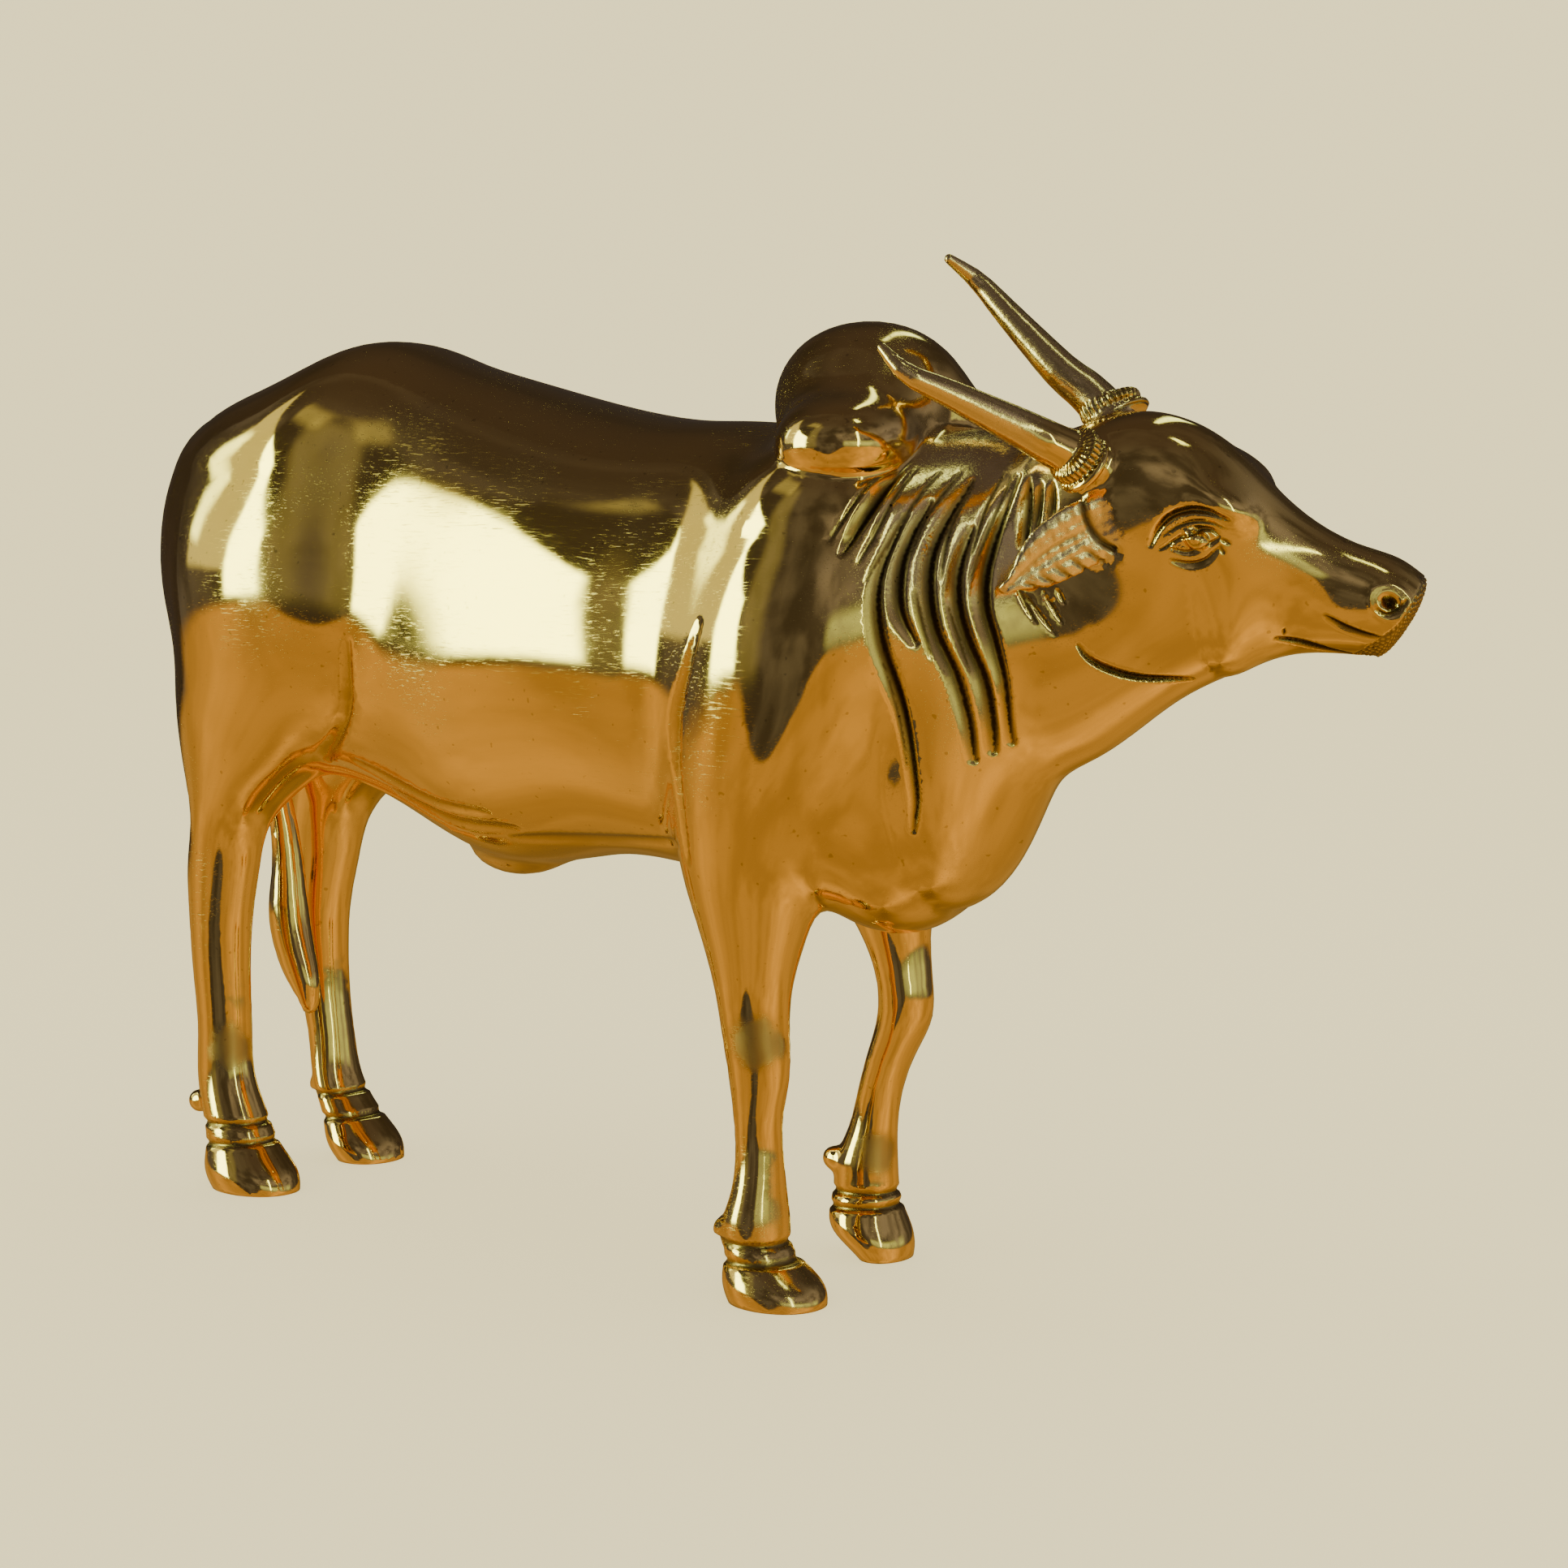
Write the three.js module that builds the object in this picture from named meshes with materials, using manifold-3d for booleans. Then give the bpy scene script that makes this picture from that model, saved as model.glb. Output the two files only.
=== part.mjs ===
// Standing humped bull, cast in brass in one piece and polished by hand.
// Millimetres. +X is the way the bull faces, +Y is its left side, +Z is up and the floor is z = 0.
//
// The form is modelled the way a wax is: round masses are laid over one another and their joints
// are smoothed. Each mass gives the distance to its own skin, blend() runs them together, and the
// skin of the whole is then traced on a fine lattice, thinned to few facets and cut flat at the soles.

import * as THREE from 'three';
import { edgeTable, triTable } from 'three/addons/objects/MarchingCubes.js';
import { mergeVertices } from 'three/addons/utils/BufferGeometryUtils.js';
import Module from 'manifold-3d';

// Driving dimensions
const rumpHeight = 241.5;
const backHeight = 217;
const humpHeight = 240.4;
const bellyHeight = 102;
const bodyHalfWidth = 48;
const hindTrack = 24;
const foreTrack = 26;
const skullHalfWidth = 18;
const headLength = 82.2;
const hornGap = 15.2;
const collarRadius = 7.3;
const humpHalves = [23.4, 20.8, 20];
const humpMiddle = [107.9, 0, humpHeight - humpHalves[2]];
const lobeHalves = [15, 15, 10];
const lobeMiddle = [120.2, 26.7, humpHeight - 30.9];
const sheathHalves = [15, 8, 7.4];
const sheathMiddle = [-12, 0, bellyHeight + 1];

// Where the outline box has its middle, in the frame that the form is modelled in
const boxMiddle = [54.7, 0.02];

// Facets
const latticeStep = 1;
const latticeLow = [-148, -60, -8];
const latticeHigh = [250, 66, 262];
const facetTarget = 9400;

// Beyond this distance a mass no longer touches the skin
const farAway = 40;

// Points this near the floor belong to a sole
const flatTolerance = 1e-4;

// Width over which the legs run into the body, at the belly and high on the haunch and shoulder
const legBlend = { low: 11, high: 34, from: 120, to: 185 };

// Widths over which the other masses run into the body and the head
const joints = {
  neck: 26, lobe: 22, hump: 2.4, sheath: 10, tail: 5, claw: 3,
  skull: 14, horn: 2, collar: 1.2, ear: 2, brow: 6, eye: 1
};

// Where carved lines and small masses start to count: body folds, mane, fetlocks and head
const foldsAbove = 100;
const maneFrom = 120;
const fetlockTop = 34;
const headFrom = 110;

const clamp01 = t => Math.min(1, Math.max(0, t));

// A soft bump: 1 in the middle and 0 from a distance of 1 onward
const bell = r => (Math.abs(r) < 1 ? (1 - r * r) ** 3 : 0);

// Smallest of two distances, run together over a joint of the given width (twice differentiable)
function blend(a, b, width) {
  const h = Math.max(width - Math.abs(a - b), 0) / width;
  return Math.min(a, b) - h * h * h * width / 6;
}

// Natural cubic spline through [station, value] pairs, straight beyond both ends
function profile(pairs) {
  const n = pairs.length;
  const bend = new Array(n).fill(0);
  const carry = new Array(n).fill(0);
  for (let i = 1; i < n - 1; i++) {
    const [x0, y0] = pairs[i - 1];
    const [x1, y1] = pairs[i];
    const [x2, y2] = pairs[i + 1];
    const share = (x1 - x0) / (x2 - x0);
    const pivot = share * bend[i - 1] + 2;
    bend[i] = (share - 1) / pivot;
    const jump = (y2 - y1) / (x2 - x1) - (y1 - y0) / (x1 - x0);
    carry[i] = (6 * jump / (x2 - x0) - share * carry[i - 1]) / pivot;
  }
  bend[n - 1] = 0;
  for (let i = n - 2; i >= 0; i--) bend[i] = bend[i] * bend[i + 1] + carry[i];
  return s => {
    const x = Math.min(pairs[n - 1][0], Math.max(pairs[0][0], s));
    let i = 0;
    while (i < n - 2 && x > pairs[i + 1][0]) i++;
    const [x0, y0] = pairs[i];
    const [x1, y1] = pairs[i + 1];
    const step = x1 - x0;
    const a = (x1 - x) / step;
    const b = (x - x0) / step;
    const curl = (a * a * a - a) * bend[i] + (b * b * b - b) * bend[i + 1];
    return a * y0 + b * y1 + curl * step * step / 6;
  };
}

// Distance to an oval skin: offsets from its middle, its half sizes and how square it is
function oval(offsets, halves, squareness = 2) {
  let total = 0;
  for (let i = 0; i < offsets.length; i++) {
    total += Math.pow(Math.abs(offsets[i]) / halves[i], squareness);
  }
  const reach = Math.pow(total, 1 / squareness);
  if (reach < 1e-5) return -Math.min(...halves);
  let slope = 0;
  for (let i = 0; i < offsets.length; i++) {
    const lean = Math.pow(Math.abs(offsets[i]) / halves[i] / reach, squareness - 1) / halves[i];
    slope += lean * lean;
  }
  return (reach - 1) / Math.sqrt(slope);
}

// A mass with oval sections strung along one axis. Stations are [at, low, high, side, halfSide]:
// low and high bound the section one way, side and halfSide give its middle and half size across.
function strung(stations, rounding, squareness = 2) {
  const column = k => profile(stations.map(row => [row[0], row[k]]));
  const [low, high, side, halfSide] = [1, 2, 3, 4].map(column);
  const first = stations[0][0];
  const last = stations[stations.length - 1][0];
  return (along, up, across) => {
    const past = along > last ? along - last : Math.min(0, along - first);
    if (Math.abs(past) > farAway) return farAway;
    const under = low(along);
    const over = high(along);
    if (up > over + farAway || up < under - farAway) return farAway;
    const cap = along > last ? rounding[1] : rounding[0];
    return oval([up - (under + over) / 2, across - side(along), past],
      [(over - under) / 2, halfSide(along), cap], squareness);
  };
}

// Trunk, along X: belly line, top line and half width
const trunk = strung([
  [-104, 150, 220.4, 0, 36],
  [-90, 132, 226.2, 0, 41],
  [-75, 121, 234.4, 0, 45],
  [-58, 117, rumpHeight, 0, 47],
  [-34, 109.2, 237, 0, 44.6],
  [-8, bellyHeight - 1.6, 230, 0, 45.6],
  [30, bellyHeight + 2, 221.2, 0, bodyHalfWidth],
  [58, bellyHeight + 1.5, backHeight + 0.5, 0, bodyHalfWidth - 0.6],
  [84, 100.5, 216, 0, 44.8],
  [106, 98, 210, 0, 42],
  [122, 93, 204, 0, 35],
  [134, 99, 200, 0, 28]
], [22, 20], 2.25);

// Neck and dewlap, along X from the shoulders to the back of the head
const neck = strung([
  [118, 98, 212, 0, 34],
  [134, 105.4, 213, 1, 29],
  [150, 128.2, 210, 6, 23],
  [166, 135.6, 201, 11, 19],
  [182, 147.2, 194, 16, 15],
  [196, 156.2, 187, 20, 11]
], [14, 10]);

// Legs, along Z from sole to body: back and front edge, middle and half size across.
// The far fore leg is bent at the knee and the far hind leg stands further back.
const fore = -foreTrack;
const hind = -hindTrack;
const legs = [
  strung([
    [-2, -107, -80, hind, 10], [5, -111, -81.2, hind, 11.4], [12, -111, -87.4, hind, 9.6],
    [20, -112.4, -92, hind, 8.4], [30, -115, -96.6, hind, 7.4], [45, -115, -98, hind, 7],
    [62, -116.4, -98.4, hind, 7.4], [80, -117.4, -97, hind, 8.2], [94, -117.2, -94, hind, 9],
    [107, -114.4, -89, hind, 11], [120, -115, -72, hind, 15.5], [138, -115.8, -50, hind - 1, 20],
    [162, -113, -38, hind - 2, 22.4], [188, -110.6, -42, hind, 22], [206, -111, -48, hind + 4, 18]
  ], [4, 18], 2.1),
  strung([
    [-2, -104.6, -87.4, -hind, 9.4], [5, -110.2, -89, -hind, 11.4], [12, -112.8, -95.4, -hind, 9.6],
    [20, -116.4, -102.6, -hind, 8.4], [34, -119.8, -106.6, -hind, 7.2], [46, -122.6, -108.2, -hind, 7.2],
    [60, -126, -109, -hind, 7.8], [76, -128, -108, -hind, 8.6], [92, -128.6, -103.6, -hind, 9.4],
    [107, -127, -97, -hind, 12], [120, -124, -79, -hind, 16], [138, -117, -52, -hind + 1, 20],
    [162, -113, -38, -hind + 2, 22.4], [188, -110.6, -42, -hind, 22], [206, -111, -48, -hind - 4, 18]
  ], [4, 18], 2.1),
  strung([
    [-2, 88, 112.5, fore, 10.4], [5, 85.4, 111, fore, 11.4], [12, 85.5, 103, fore, 8.6],
    [18, 84.8, 101.4, fore, 8.6], [25, 86.8, 100.8, fore, 7.6], [34, 88.2, 100.2, fore, 6.1],
    [45, 87.6, 100, fore, 5.8], [56, 86, 102, fore, 6.6], [64, 84.8, 101.8, fore, 7.6],
    [76, 82.6, 102, fore, 8.6], [90, 78.8, 105.8, fore, 11.6], [106, 74.2, 111, fore, 16],
    [126, 75.6, 122, fore - 3, 19.8], [148, 80, 132, fore - 5, 19.4], [168, 86, 135, fore - 3, 20],
    [188, 94, 134, fore + 2, 19]
  ], [4, 20], 2.1),
  strung([
    [-2, 91, 100.8, -fore, 7.4], [2, 86.6, 101.4, -fore, 9.4], [7, 80.4, 100.6, -fore, 10.8],
    [12, 79, 98.6, -fore, 9.8], [18, 79.6, 97.4, -fore, 8], [24, 80, 97, -fore, 7.6],
    [33, 83.8, 97, -fore, 6.4], [43, 87, 98.4, -fore, 6], [54, 90.4, 102.6, -fore, 6.6],
    [64, 93.6, 107.6, -fore, 7.2], [73, 93.6, 107.8, -fore, 7.4], [88, 87, 107, -fore, 9.4],
    [106, 76, 112, -fore, 16], [126, 76, 122, -fore + 3, 19.8], [148, 80, 132, -fore + 5, 19.4],
    [168, 86, 135, -fore + 3, 20], [188, 94, 134, -fore - 2, 19]
  ], [4, 20], 2.1)
];

// Tail: it lies in the cleft of the buttocks and ends in a tuft between the hocks
const tail = strung([
  [50, -105.4, -99.4, 5, 3], [56, -110.6, -99.4, 5, 4.2], [64, -114.8, -101.4, 5, 5.2],
  [76, -117.2, -104, 5, 5.6], [90, -115.4, -105.4, 4.6, 4.6], [106, -115.8, -107.6, 3.6, 4],
  [130, -121.6, -112.6, 1.6, 4], [170, -129, -119, 0, 4.4], [205, -130, -116, 0, 5.4]
], [4, 12]);

// The head has its own frame: turned to the left, nose down and tilted with its left side up
const headTurn = THREE.MathUtils.degToRad(30);
const headDrop = THREE.MathUtils.degToRad(30);
const headTilt = THREE.MathUtils.degToRad(26);
const headFrame = new THREE.Matrix4()
  .makeRotationZ(headTurn)
  .multiply(new THREE.Matrix4().makeRotationY(headDrop))
  .multiply(new THREE.Matrix4().makeRotationX(headTilt))
  .setPosition(170, 2, 211);
const intoHead = headFrame.clone().invert();

// Skull and jaw, along the head: under side, top side and half width
const skull = strung([
  [-5, -30, -2, 0, 13], [4, -38, 8.4, 0, 16], [14, -42, 14, 0, skullHalfWidth],
  [25, -43, 15.4, 0, skullHalfWidth + 0.3], [36, -40, 13.4, 0, skullHalfWidth - 0.6],
  [47, -35.4, 10.4, 0, 14.8], [57, -28.8, 9.2, 0, 12], [67, -20.2, 10, 0, 10.6], [76, -14, 11.6, 0, 10.6],
  [headLength, -10.8, 11, 0, 9.8]
], [7, 3.2], 2.2);

// Horns: they sweep back from the collars and turn up at the tips. The left one sits a little
// higher, and the right one is a little shorter and turns up less.
const hornShift = { [-1]: new THREE.Vector3(), 1: new THREE.Vector3(0, 0.3, 0.4) };
const hornDroop = { [-1]: 3.6, 1: 0.5 };
const hornLength = { [-1]: 0.965, 1: 1.01 };
const hornPath = side => new THREE.CatmullRomCurve3([
  [7, hornGap - 6.2, -0.8], [-4.7, hornGap + 0.6, 1.6], [-13, hornGap + 2.4, 2.2],
  [-23, hornGap + 6.2, 3.6], [-33, hornGap + 10, 5.3], [-43, hornGap + 13.6, 7.2],
  [-51, hornGap + 10.9, 9.8]
].map(([along, out, up], i, knots) => {
  const droop = hornDroop[side] * (i / (knots.length - 1)) ** 3;
  const reach = along < 0 ? along * hornLength[side] : along;
  return new THREE.Vector3(reach, side * out, up - droop).add(hornShift[side]);
}));
const hornRadius = profile([
  [0, 5.8], [0.2, 5], [0.35, 4.5], [0.52, 3.8], [0.68, 3.1], [0.85, 2.2], [1, 1.2]
]);

// Straight beads along a curve, close enough together to read as one swept skin
function swept(curve, radius, count) {
  const beads = [];
  for (let i = 0; i <= count; i++) beads.push({ at: curve.getPoint(i / count), size: radius(i / count) });
  const runs = beads.slice(1).map((bead, i) => bead.at.clone().sub(beads[i].at));
  const offset = new THREE.Vector3();
  return point => {
    let nearest = Infinity;
    runs.forEach((run, i) => {
      const a = beads[i];
      offset.subVectors(point, a.at);
      const t = clamp01(offset.dot(run) / run.lengthSq());
      const size = a.size + (beads[i + 1].size - a.size) * t;
      nearest = Math.min(nearest, offset.addScaledVector(run, -t).length() - size);
    });
    return nearest;
  };
}

// Rings round a horn's root, in the head frame: a ribbed one on the horn and a plain band below it
const collarRings = [
  { middle: [0.1, hornGap + 0.7, 2.2], width: 4, radius: collarRadius },
  { middle: [3, hornGap + 1.1, 1.1], width: 3.2, radius: collarRadius }
];
const collarGirth = { [-1]: 0.97, 1: 1.04 };
function collar(side, ring) {
  const [along, out, up] = ring.middle;
  const middle = new THREE.Vector3(along, side * out, up);
  const axis = new THREE.Vector3(-0.94, side * 0.52, 0.42).normalize();
  const offset = new THREE.Vector3();
  return point => {
    offset.subVectors(point, middle);
    const lift = offset.dot(axis);
    const away = offset.addScaledVector(axis, -lift).length();
    return oval([lift, away], [ring.width / 2, ring.radius * collarGirth[side]], 3);
  };
}

// An ear: a thick leaf, hollowed on its face, that hangs outward and back below the horn
function ear(side) {
  const root = new THREE.Vector3(14.6, side * 15.4, -6.2);
  const tip = new THREE.Vector3(2.2, side * 30.5, -27.2);
  const length = tip.distanceTo(root);
  const run = tip.clone().sub(root).normalize();
  const breadth = new THREE.Vector3(0.8, 0, -0.6);
  breadth.addScaledVector(run, -breadth.dot(run)).normalize();
  const face = new THREE.Vector3().crossVectors(run, breadth).multiplyScalar(-side);
  const leaf = profile([[0, 6], [0.2, 7.5], [0.45, 7.8], [0.75, 5.9], [1, 1.8]]);
  const bow = 0.6;
  const halfThickness = 1.9;
  const hollowDepth = 1.1;
  const cap = 3;
  const offset = new THREE.Vector3();
  return point => {
    offset.subVectors(point, root);
    const along = offset.dot(run);
    const past = along > length ? along - length : Math.min(0, along);
    const share = clamp01(along / length);
    const width = leaf(share);
    const aside = offset.dot(breadth) + 4 * bow * share * (1 - share);
    const hollow = hollowDepth * bell(aside / width);
    return oval([aside, offset.dot(face) + hollow, past], [width, halfThickness, cap]);
  };
}

const horns = [-1, 1].map(side => swept(hornPath(side), hornRadius, 14));
const collars = [-1, 1].flatMap(side => collarRings.map(ring => collar(side, ring)));
const ears = [-1, 1].map(side => ear(side));

// A line cut with a round chisel, seen from the side: it fades out at both ends
const endFade = 0.04;
function stroke(points, halfWidth, depth) {
  const curve = new THREE.CatmullRomCurve3(points.map(([x, z]) => new THREE.Vector3(x, 0, z)));
  const steps = points.length * 4;
  const path = curve.getPoints(steps);
  const box = new THREE.Box3().setFromPoints(path).expandByScalar(halfWidth);
  return (x, z) => {
    if (x < box.min.x || x > box.max.x || z < box.min.z || z > box.max.z) return 0;
    let nearest = halfWidth;
    let at = 0;
    for (let i = 0; i < steps; i++) {
      const a = path[i];
      const b = path[i + 1];
      const [runX, runZ] = [b.x - a.x, b.z - a.z];
      const t = clamp01(((x - a.x) * runX + (z - a.z) * runZ) / (runX * runX + runZ * runZ));
      const away = Math.hypot(x - a.x - runX * t, z - a.z - runZ * t);
      if (away < nearest) [nearest, at] = [away, (i + t) / steps];
    }
    const fade = Math.sqrt(Math.sin(Math.PI * THREE.MathUtils.lerp(endFade, 1 - endFade, at)));
    return depth * bell(nearest / halfWidth) * fade;
  };
}

// Locks of the mane: they fan out behind the ear and run down the neck, on both sides
const mane = [
  [[135, 205], [133.7, 195.6], [130.4, 184.5]],
  [[139.4, 193], [137, 178], [137.6, 165], [139.6, 151], [140.6, 138], [140.6, 127], [139, 119.5]],
  [[142.4, 196], [140.4, 185], [140.2, 177], [141, 170], [143.4, 163.5]],
  [
    [147.6, 201], [145.9, 192], [144.8, 184], [145.2, 175], [146.6, 166], [149.6, 156], [151.2, 145],
    [151.4, 136]
  ],
  [[150.5, 190], [149.6, 182], [149.8, 173.5], [151.6, 164], [154, 155], [154.6, 145], [154.2, 138]],
  [[158.3, 202], [155.1, 191], [153.9, 181], [154.2, 172], [156, 163], [157.2, 154], [156.9, 140]],
  [[161.2, 201], [160.1, 185.5]],
  [[164.1, 200], [162.3, 189]],
  [[167.1, 200], [166.2, 191]],
  [[163.4, 175], [168.6, 165.5]],
  [[167, 175], [170.4, 168]]
].map(points => stroke(points, 1.9, 1.9));

// Folds of the hide: flank, back of the shoulder and belly, on both sides
const folds = [
  stroke([[-31, 160], [-36, 143], [-45, 134], [-57, 127]], 2.6, 2.4),
  stroke([[95, 168], [89, 153], [85.5, 144], [84.4, 134], [85, 122], [84.5, 110]], 2.4, 1.8),
  stroke([[-42, 127], [-27, 122], [-10, 117.5], [9, 116]], 2, 1),
  stroke([[-30, 119], [-5, 112.5], [16, 112]], 2, 1),
  stroke([[12, 109], [33, 110], [80, 113]], 2, 0.8)
];

// Lines of the face, in the side view of the head frame: brow, lids, mouth and edge of the jaw
const faceLines = [
  stroke([[25, -6.5], [25.3, -0.6], [29, 3.9], [33, 5.6], [38, 5.2]], 1.5, 1.7),
  stroke([[28, -5], [29, -0.9], [32, 1.9], [35, 2.8], [38.4, 2.2]], 1.1, 1.1),
  stroke([[29, -4.8], [32.5, -4.6], [36, -2.4], [38.4, 1.8]], 1.1, 1.1),
  stroke([[30, -8.2], [33.5, -7.4], [37.5, -4.5], [39, -0.5]], 1.4, 1.2),
  stroke([[61, -14.6], [68, -13], [76, -12], [83, -9.6]], 1.3, 1.3),
  stroke([[67, -4.4], [73, -5.6], [80, -4.6]], 1.2, 0.9),
  stroke([[22.6, -35], [26, -36.4], [31, -36.8], [38, -36], [44, -33.9], [49, -32]], 1.8, 1.8)
];

// Brow ridge and eyeball of either side, and how far the nostril is pushed in, in the head frame
const brow = { middle: [34, 10.3, 7.6], halves: [8, 4.4, 3.4] };
const eye = { middle: [33.4, 16.4, -0.8], halves: [3.2, 2.3, 2.2] };
const nostril = { middle: [78.5, 8.6, 6.2], halves: [3.2, 3, 2.4], depth: 2.4 };
const faceFrom = [16, 5];

// Rings cut round the tops of the hooves: middle of the leg, height and rise towards the toe
const hoofRings = [
  [-101, hind, 19, 0.05], [-100, hind, 13.4, 0.08], [-109, -hind, 19.4, 0.1], [-106, -hind, 12.6, 0.1],
  [93, fore, 14.8, 0], [94.5, fore, 10.4, 0.05], [89, -fore, 17.4, 0.02], [89, -fore, 13.6, 0.05]
];
const ringReach = 19;
const ringHalfWidth = 1.5;
const ringDepth = 0.9;

// Dew claws behind the fetlocks
const clawHalves = [3.6, 2.6, 3.2];
const dewClaws = [
  [-114.8, hind - 3, 23.4], [-114.8, hind + 5, 23.4], [-114.6, -hind - 4, 21], [-114.6, -hind + 4, 21],
  [86.8, fore - 4, 17], [86.8, fore + 4, 17], [81.2, -fore - 4, 25], [81.2, -fore + 4, 25]
];

const offsets = (point, middle) => point.map((value, k) => value - middle[k]);

// Distance from a point to the body, and how deep the body is carved there
function body(x, y, z) {
  let d = blend(trunk(x, z, y), neck(x, z, y), joints.neck);
  const lift = THREE.MathUtils.smoothstep(z, legBlend.from, legBlend.to);
  const width = THREE.MathUtils.lerp(legBlend.low, legBlend.high, lift);
  legs.forEach(leg => {
    d = blend(d, leg(z, x, y), width);
  });
  const lobe = oval(offsets([x, Math.abs(y), z], lobeMiddle), lobeHalves, 2.2);
  const hump = blend(oval(offsets([x, y, z], humpMiddle), humpHalves, 2.1), lobe, joints.lobe);
  d = blend(d, hump, joints.hump);
  d = blend(d, oval(offsets([x, y, z], sheathMiddle), sheathHalves), joints.sheath);
  if (x < 0) d = blend(d, tail(z, x, y), joints.tail);
  let carved = 0;
  if (z > foldsAbove) {
    if (x > maneFrom) mane.forEach(lock => { carved = Math.max(carved, lock(x, z)); });
    folds.forEach(fold => { carved = Math.max(carved, fold(x, z)); });
  }
  if (z < fetlockTop) {
    dewClaws.forEach(middle => {
      d = blend(d, oval(offsets([x, y, z], middle), clawHalves), joints.claw);
    });
    hoofRings.forEach(([cx, cy, cz, rise]) => {
      if (Math.hypot(x - cx, y - cy) > ringReach) return;
      carved = Math.max(carved, ringDepth * bell((z - cz - rise * (x - cx)) / ringHalfWidth));
    });
  }
  return [d, carved];
}

// The same for the body with the head on it. The point is in the head frame.
function withHead(point, distance, depth) {
  const [along, side, up] = point;
  const half = [along, Math.abs(side), up];
  let d = blend(distance, skull(along, up, side), joints.skull);
  horns.forEach(horn => {
    d = blend(d, horn(point), joints.horn);
  });
  collars.forEach(ring => {
    d = blend(d, ring(point), joints.collar);
  });
  ears.forEach(leaf => {
    d = blend(d, leaf(point), joints.ear);
  });
  d = blend(d, oval(offsets(half, brow.middle), brow.halves), joints.brow);
  d = blend(d, oval(offsets(half, eye.middle), eye.halves), joints.eye);
  let carved = depth;
  if (along > faceFrom[0] && half[1] > faceFrom[1]) {
    faceLines.forEach(line => { carved = Math.max(carved, line(along, up)); });
  }
  const fromNostril = offsets(half, nostril.middle).map((value, k) => value / nostril.halves[k]);
  carved = Math.max(carved, nostril.depth * bell(Math.hypot(...fromNostril)));
  return [d, carved];
}

// Distance from a point to the skin of the carved bull
const probe = new THREE.Vector3();
function skin(x, y, z) {
  let [d, carved] = body(x, y, z);
  if (x > headFrom && z > headFrom) {
    probe.set(x, y, z).applyMatrix4(intoHead);
    [d, carved] = withHead(probe, d, carved);
  }
  return d + carved;
}

// Corners and edges of a lattice cell, numbered as the marching cubes tables expect
const cellCorners = [
  [0, 0, 0], [1, 0, 0], [1, 1, 0], [0, 1, 0], [0, 0, 1], [1, 0, 1], [1, 1, 1], [0, 1, 1]
];
const cellEdges = [
  [0, 1], [1, 2], [2, 3], [3, 0], [4, 5], [5, 6], [6, 7], [7, 4], [0, 4], [1, 5], [2, 6], [3, 7]
];

// Traces the skin on the lattice. Blocks of cells that lie well away from it are passed over, and a
// crossing keeps a small share of its edge from the corners, so that no facet shrinks to nothing.
const blockCells = 5;
const cornerRoom = 0.02;
function trace(field) {
  const counts = latticeLow.map((low, k) => Math.ceil((latticeHigh[k] - low) / latticeStep));
  const [nx, ny, nz] = counts.map(n => n + 1);
  const samples = new Float64Array(nx * ny * nz).fill(NaN);
  const place = (i, j, k) => [i, j, k].map((n, axis) => latticeLow[axis] + n * latticeStep);
  const sample = (i, j, k) => {
    const at = i + nx * (j + ny * k);
    if (Number.isNaN(samples[at])) samples[at] = field(...place(i, j, k));
    return samples[at];
  };
  const positions = [];
  const triangles = [];
  const welded = new Map();
  const corner = (cell, n) => cell.map((c, axis) => c + cellCorners[n][axis]);
  const crossing = (cell, edge) => {
    const [a, b] = cellEdges[edge].map(n => corner(cell, n));
    const key = [a, b].map(c => c[0] + nx * (c[1] + ny * c[2])).sort((p, q) => p - q).join();
    if (!welded.has(key)) {
      const da = sample(...a);
      const t = THREE.MathUtils.clamp(da / (da - sample(...b)), cornerRoom, 1 - cornerRoom);
      const from = place(...a);
      const to = place(...b);
      welded.set(key, positions.length / 3);
      from.forEach((value, axis) => positions.push(value + (to[axis] - value) * t));
    }
    return welded.get(key);
  };
  const march = cell => {
    let code = 0;
    for (let n = 0; n < 8; n++) {
      if (sample(...corner(cell, n)) < 0) code |= 1 << n;
    }
    if (edgeTable[code] === 0) return;
    for (let n = code * 16; triTable[n] !== -1; n += 3) {
      triangles.push(...[triTable[n], triTable[n + 2], triTable[n + 1]].map(e => crossing(cell, e)));
    }
  };
  const clear = blockCells * latticeStep * 2;
  const middle = blockCells / 2;
  for (let i = 0; i < counts[0]; i += blockCells) {
    for (let j = 0; j < counts[1]; j += blockCells) {
      for (let k = 0; k < counts[2]; k += blockCells) {
        if (Math.abs(field(...place(i + middle, j + middle, k + middle))) > clear) continue;
        const [endI, endJ, endK] = [i, j, k].map((n, axis) => Math.min(n + blockCells, counts[axis]));
        for (let a = i; a < endI; a++) {
          for (let b = j; b < endJ; b++) {
            for (let c = k; c < endK; c++) march([a, b, c]);
          }
        }
      }
    }
  }
  return { positions, triangles };
}

// Ten numbers that give the squared distance to a plane, scaled by the weight of its facet
function planeQuadric(normal, offset, weight) {
  const [a, b, c, d] = [normal.x, normal.y, normal.z, offset];
  return [a * a, a * b, a * c, a * d, b * b, b * c, b * d, c * c, c * d, d * d].map(v => v * weight);
}

function quadricError(q, p) {
  return q[0] * p.x * p.x + q[4] * p.y * p.y + q[7] * p.z * p.z + q[9]
    + 2 * (q[1] * p.x * p.y + q[2] * p.x * p.z + q[5] * p.y * p.z)
    + 2 * (q[3] * p.x + q[6] * p.y + q[8] * p.z);
}

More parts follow.
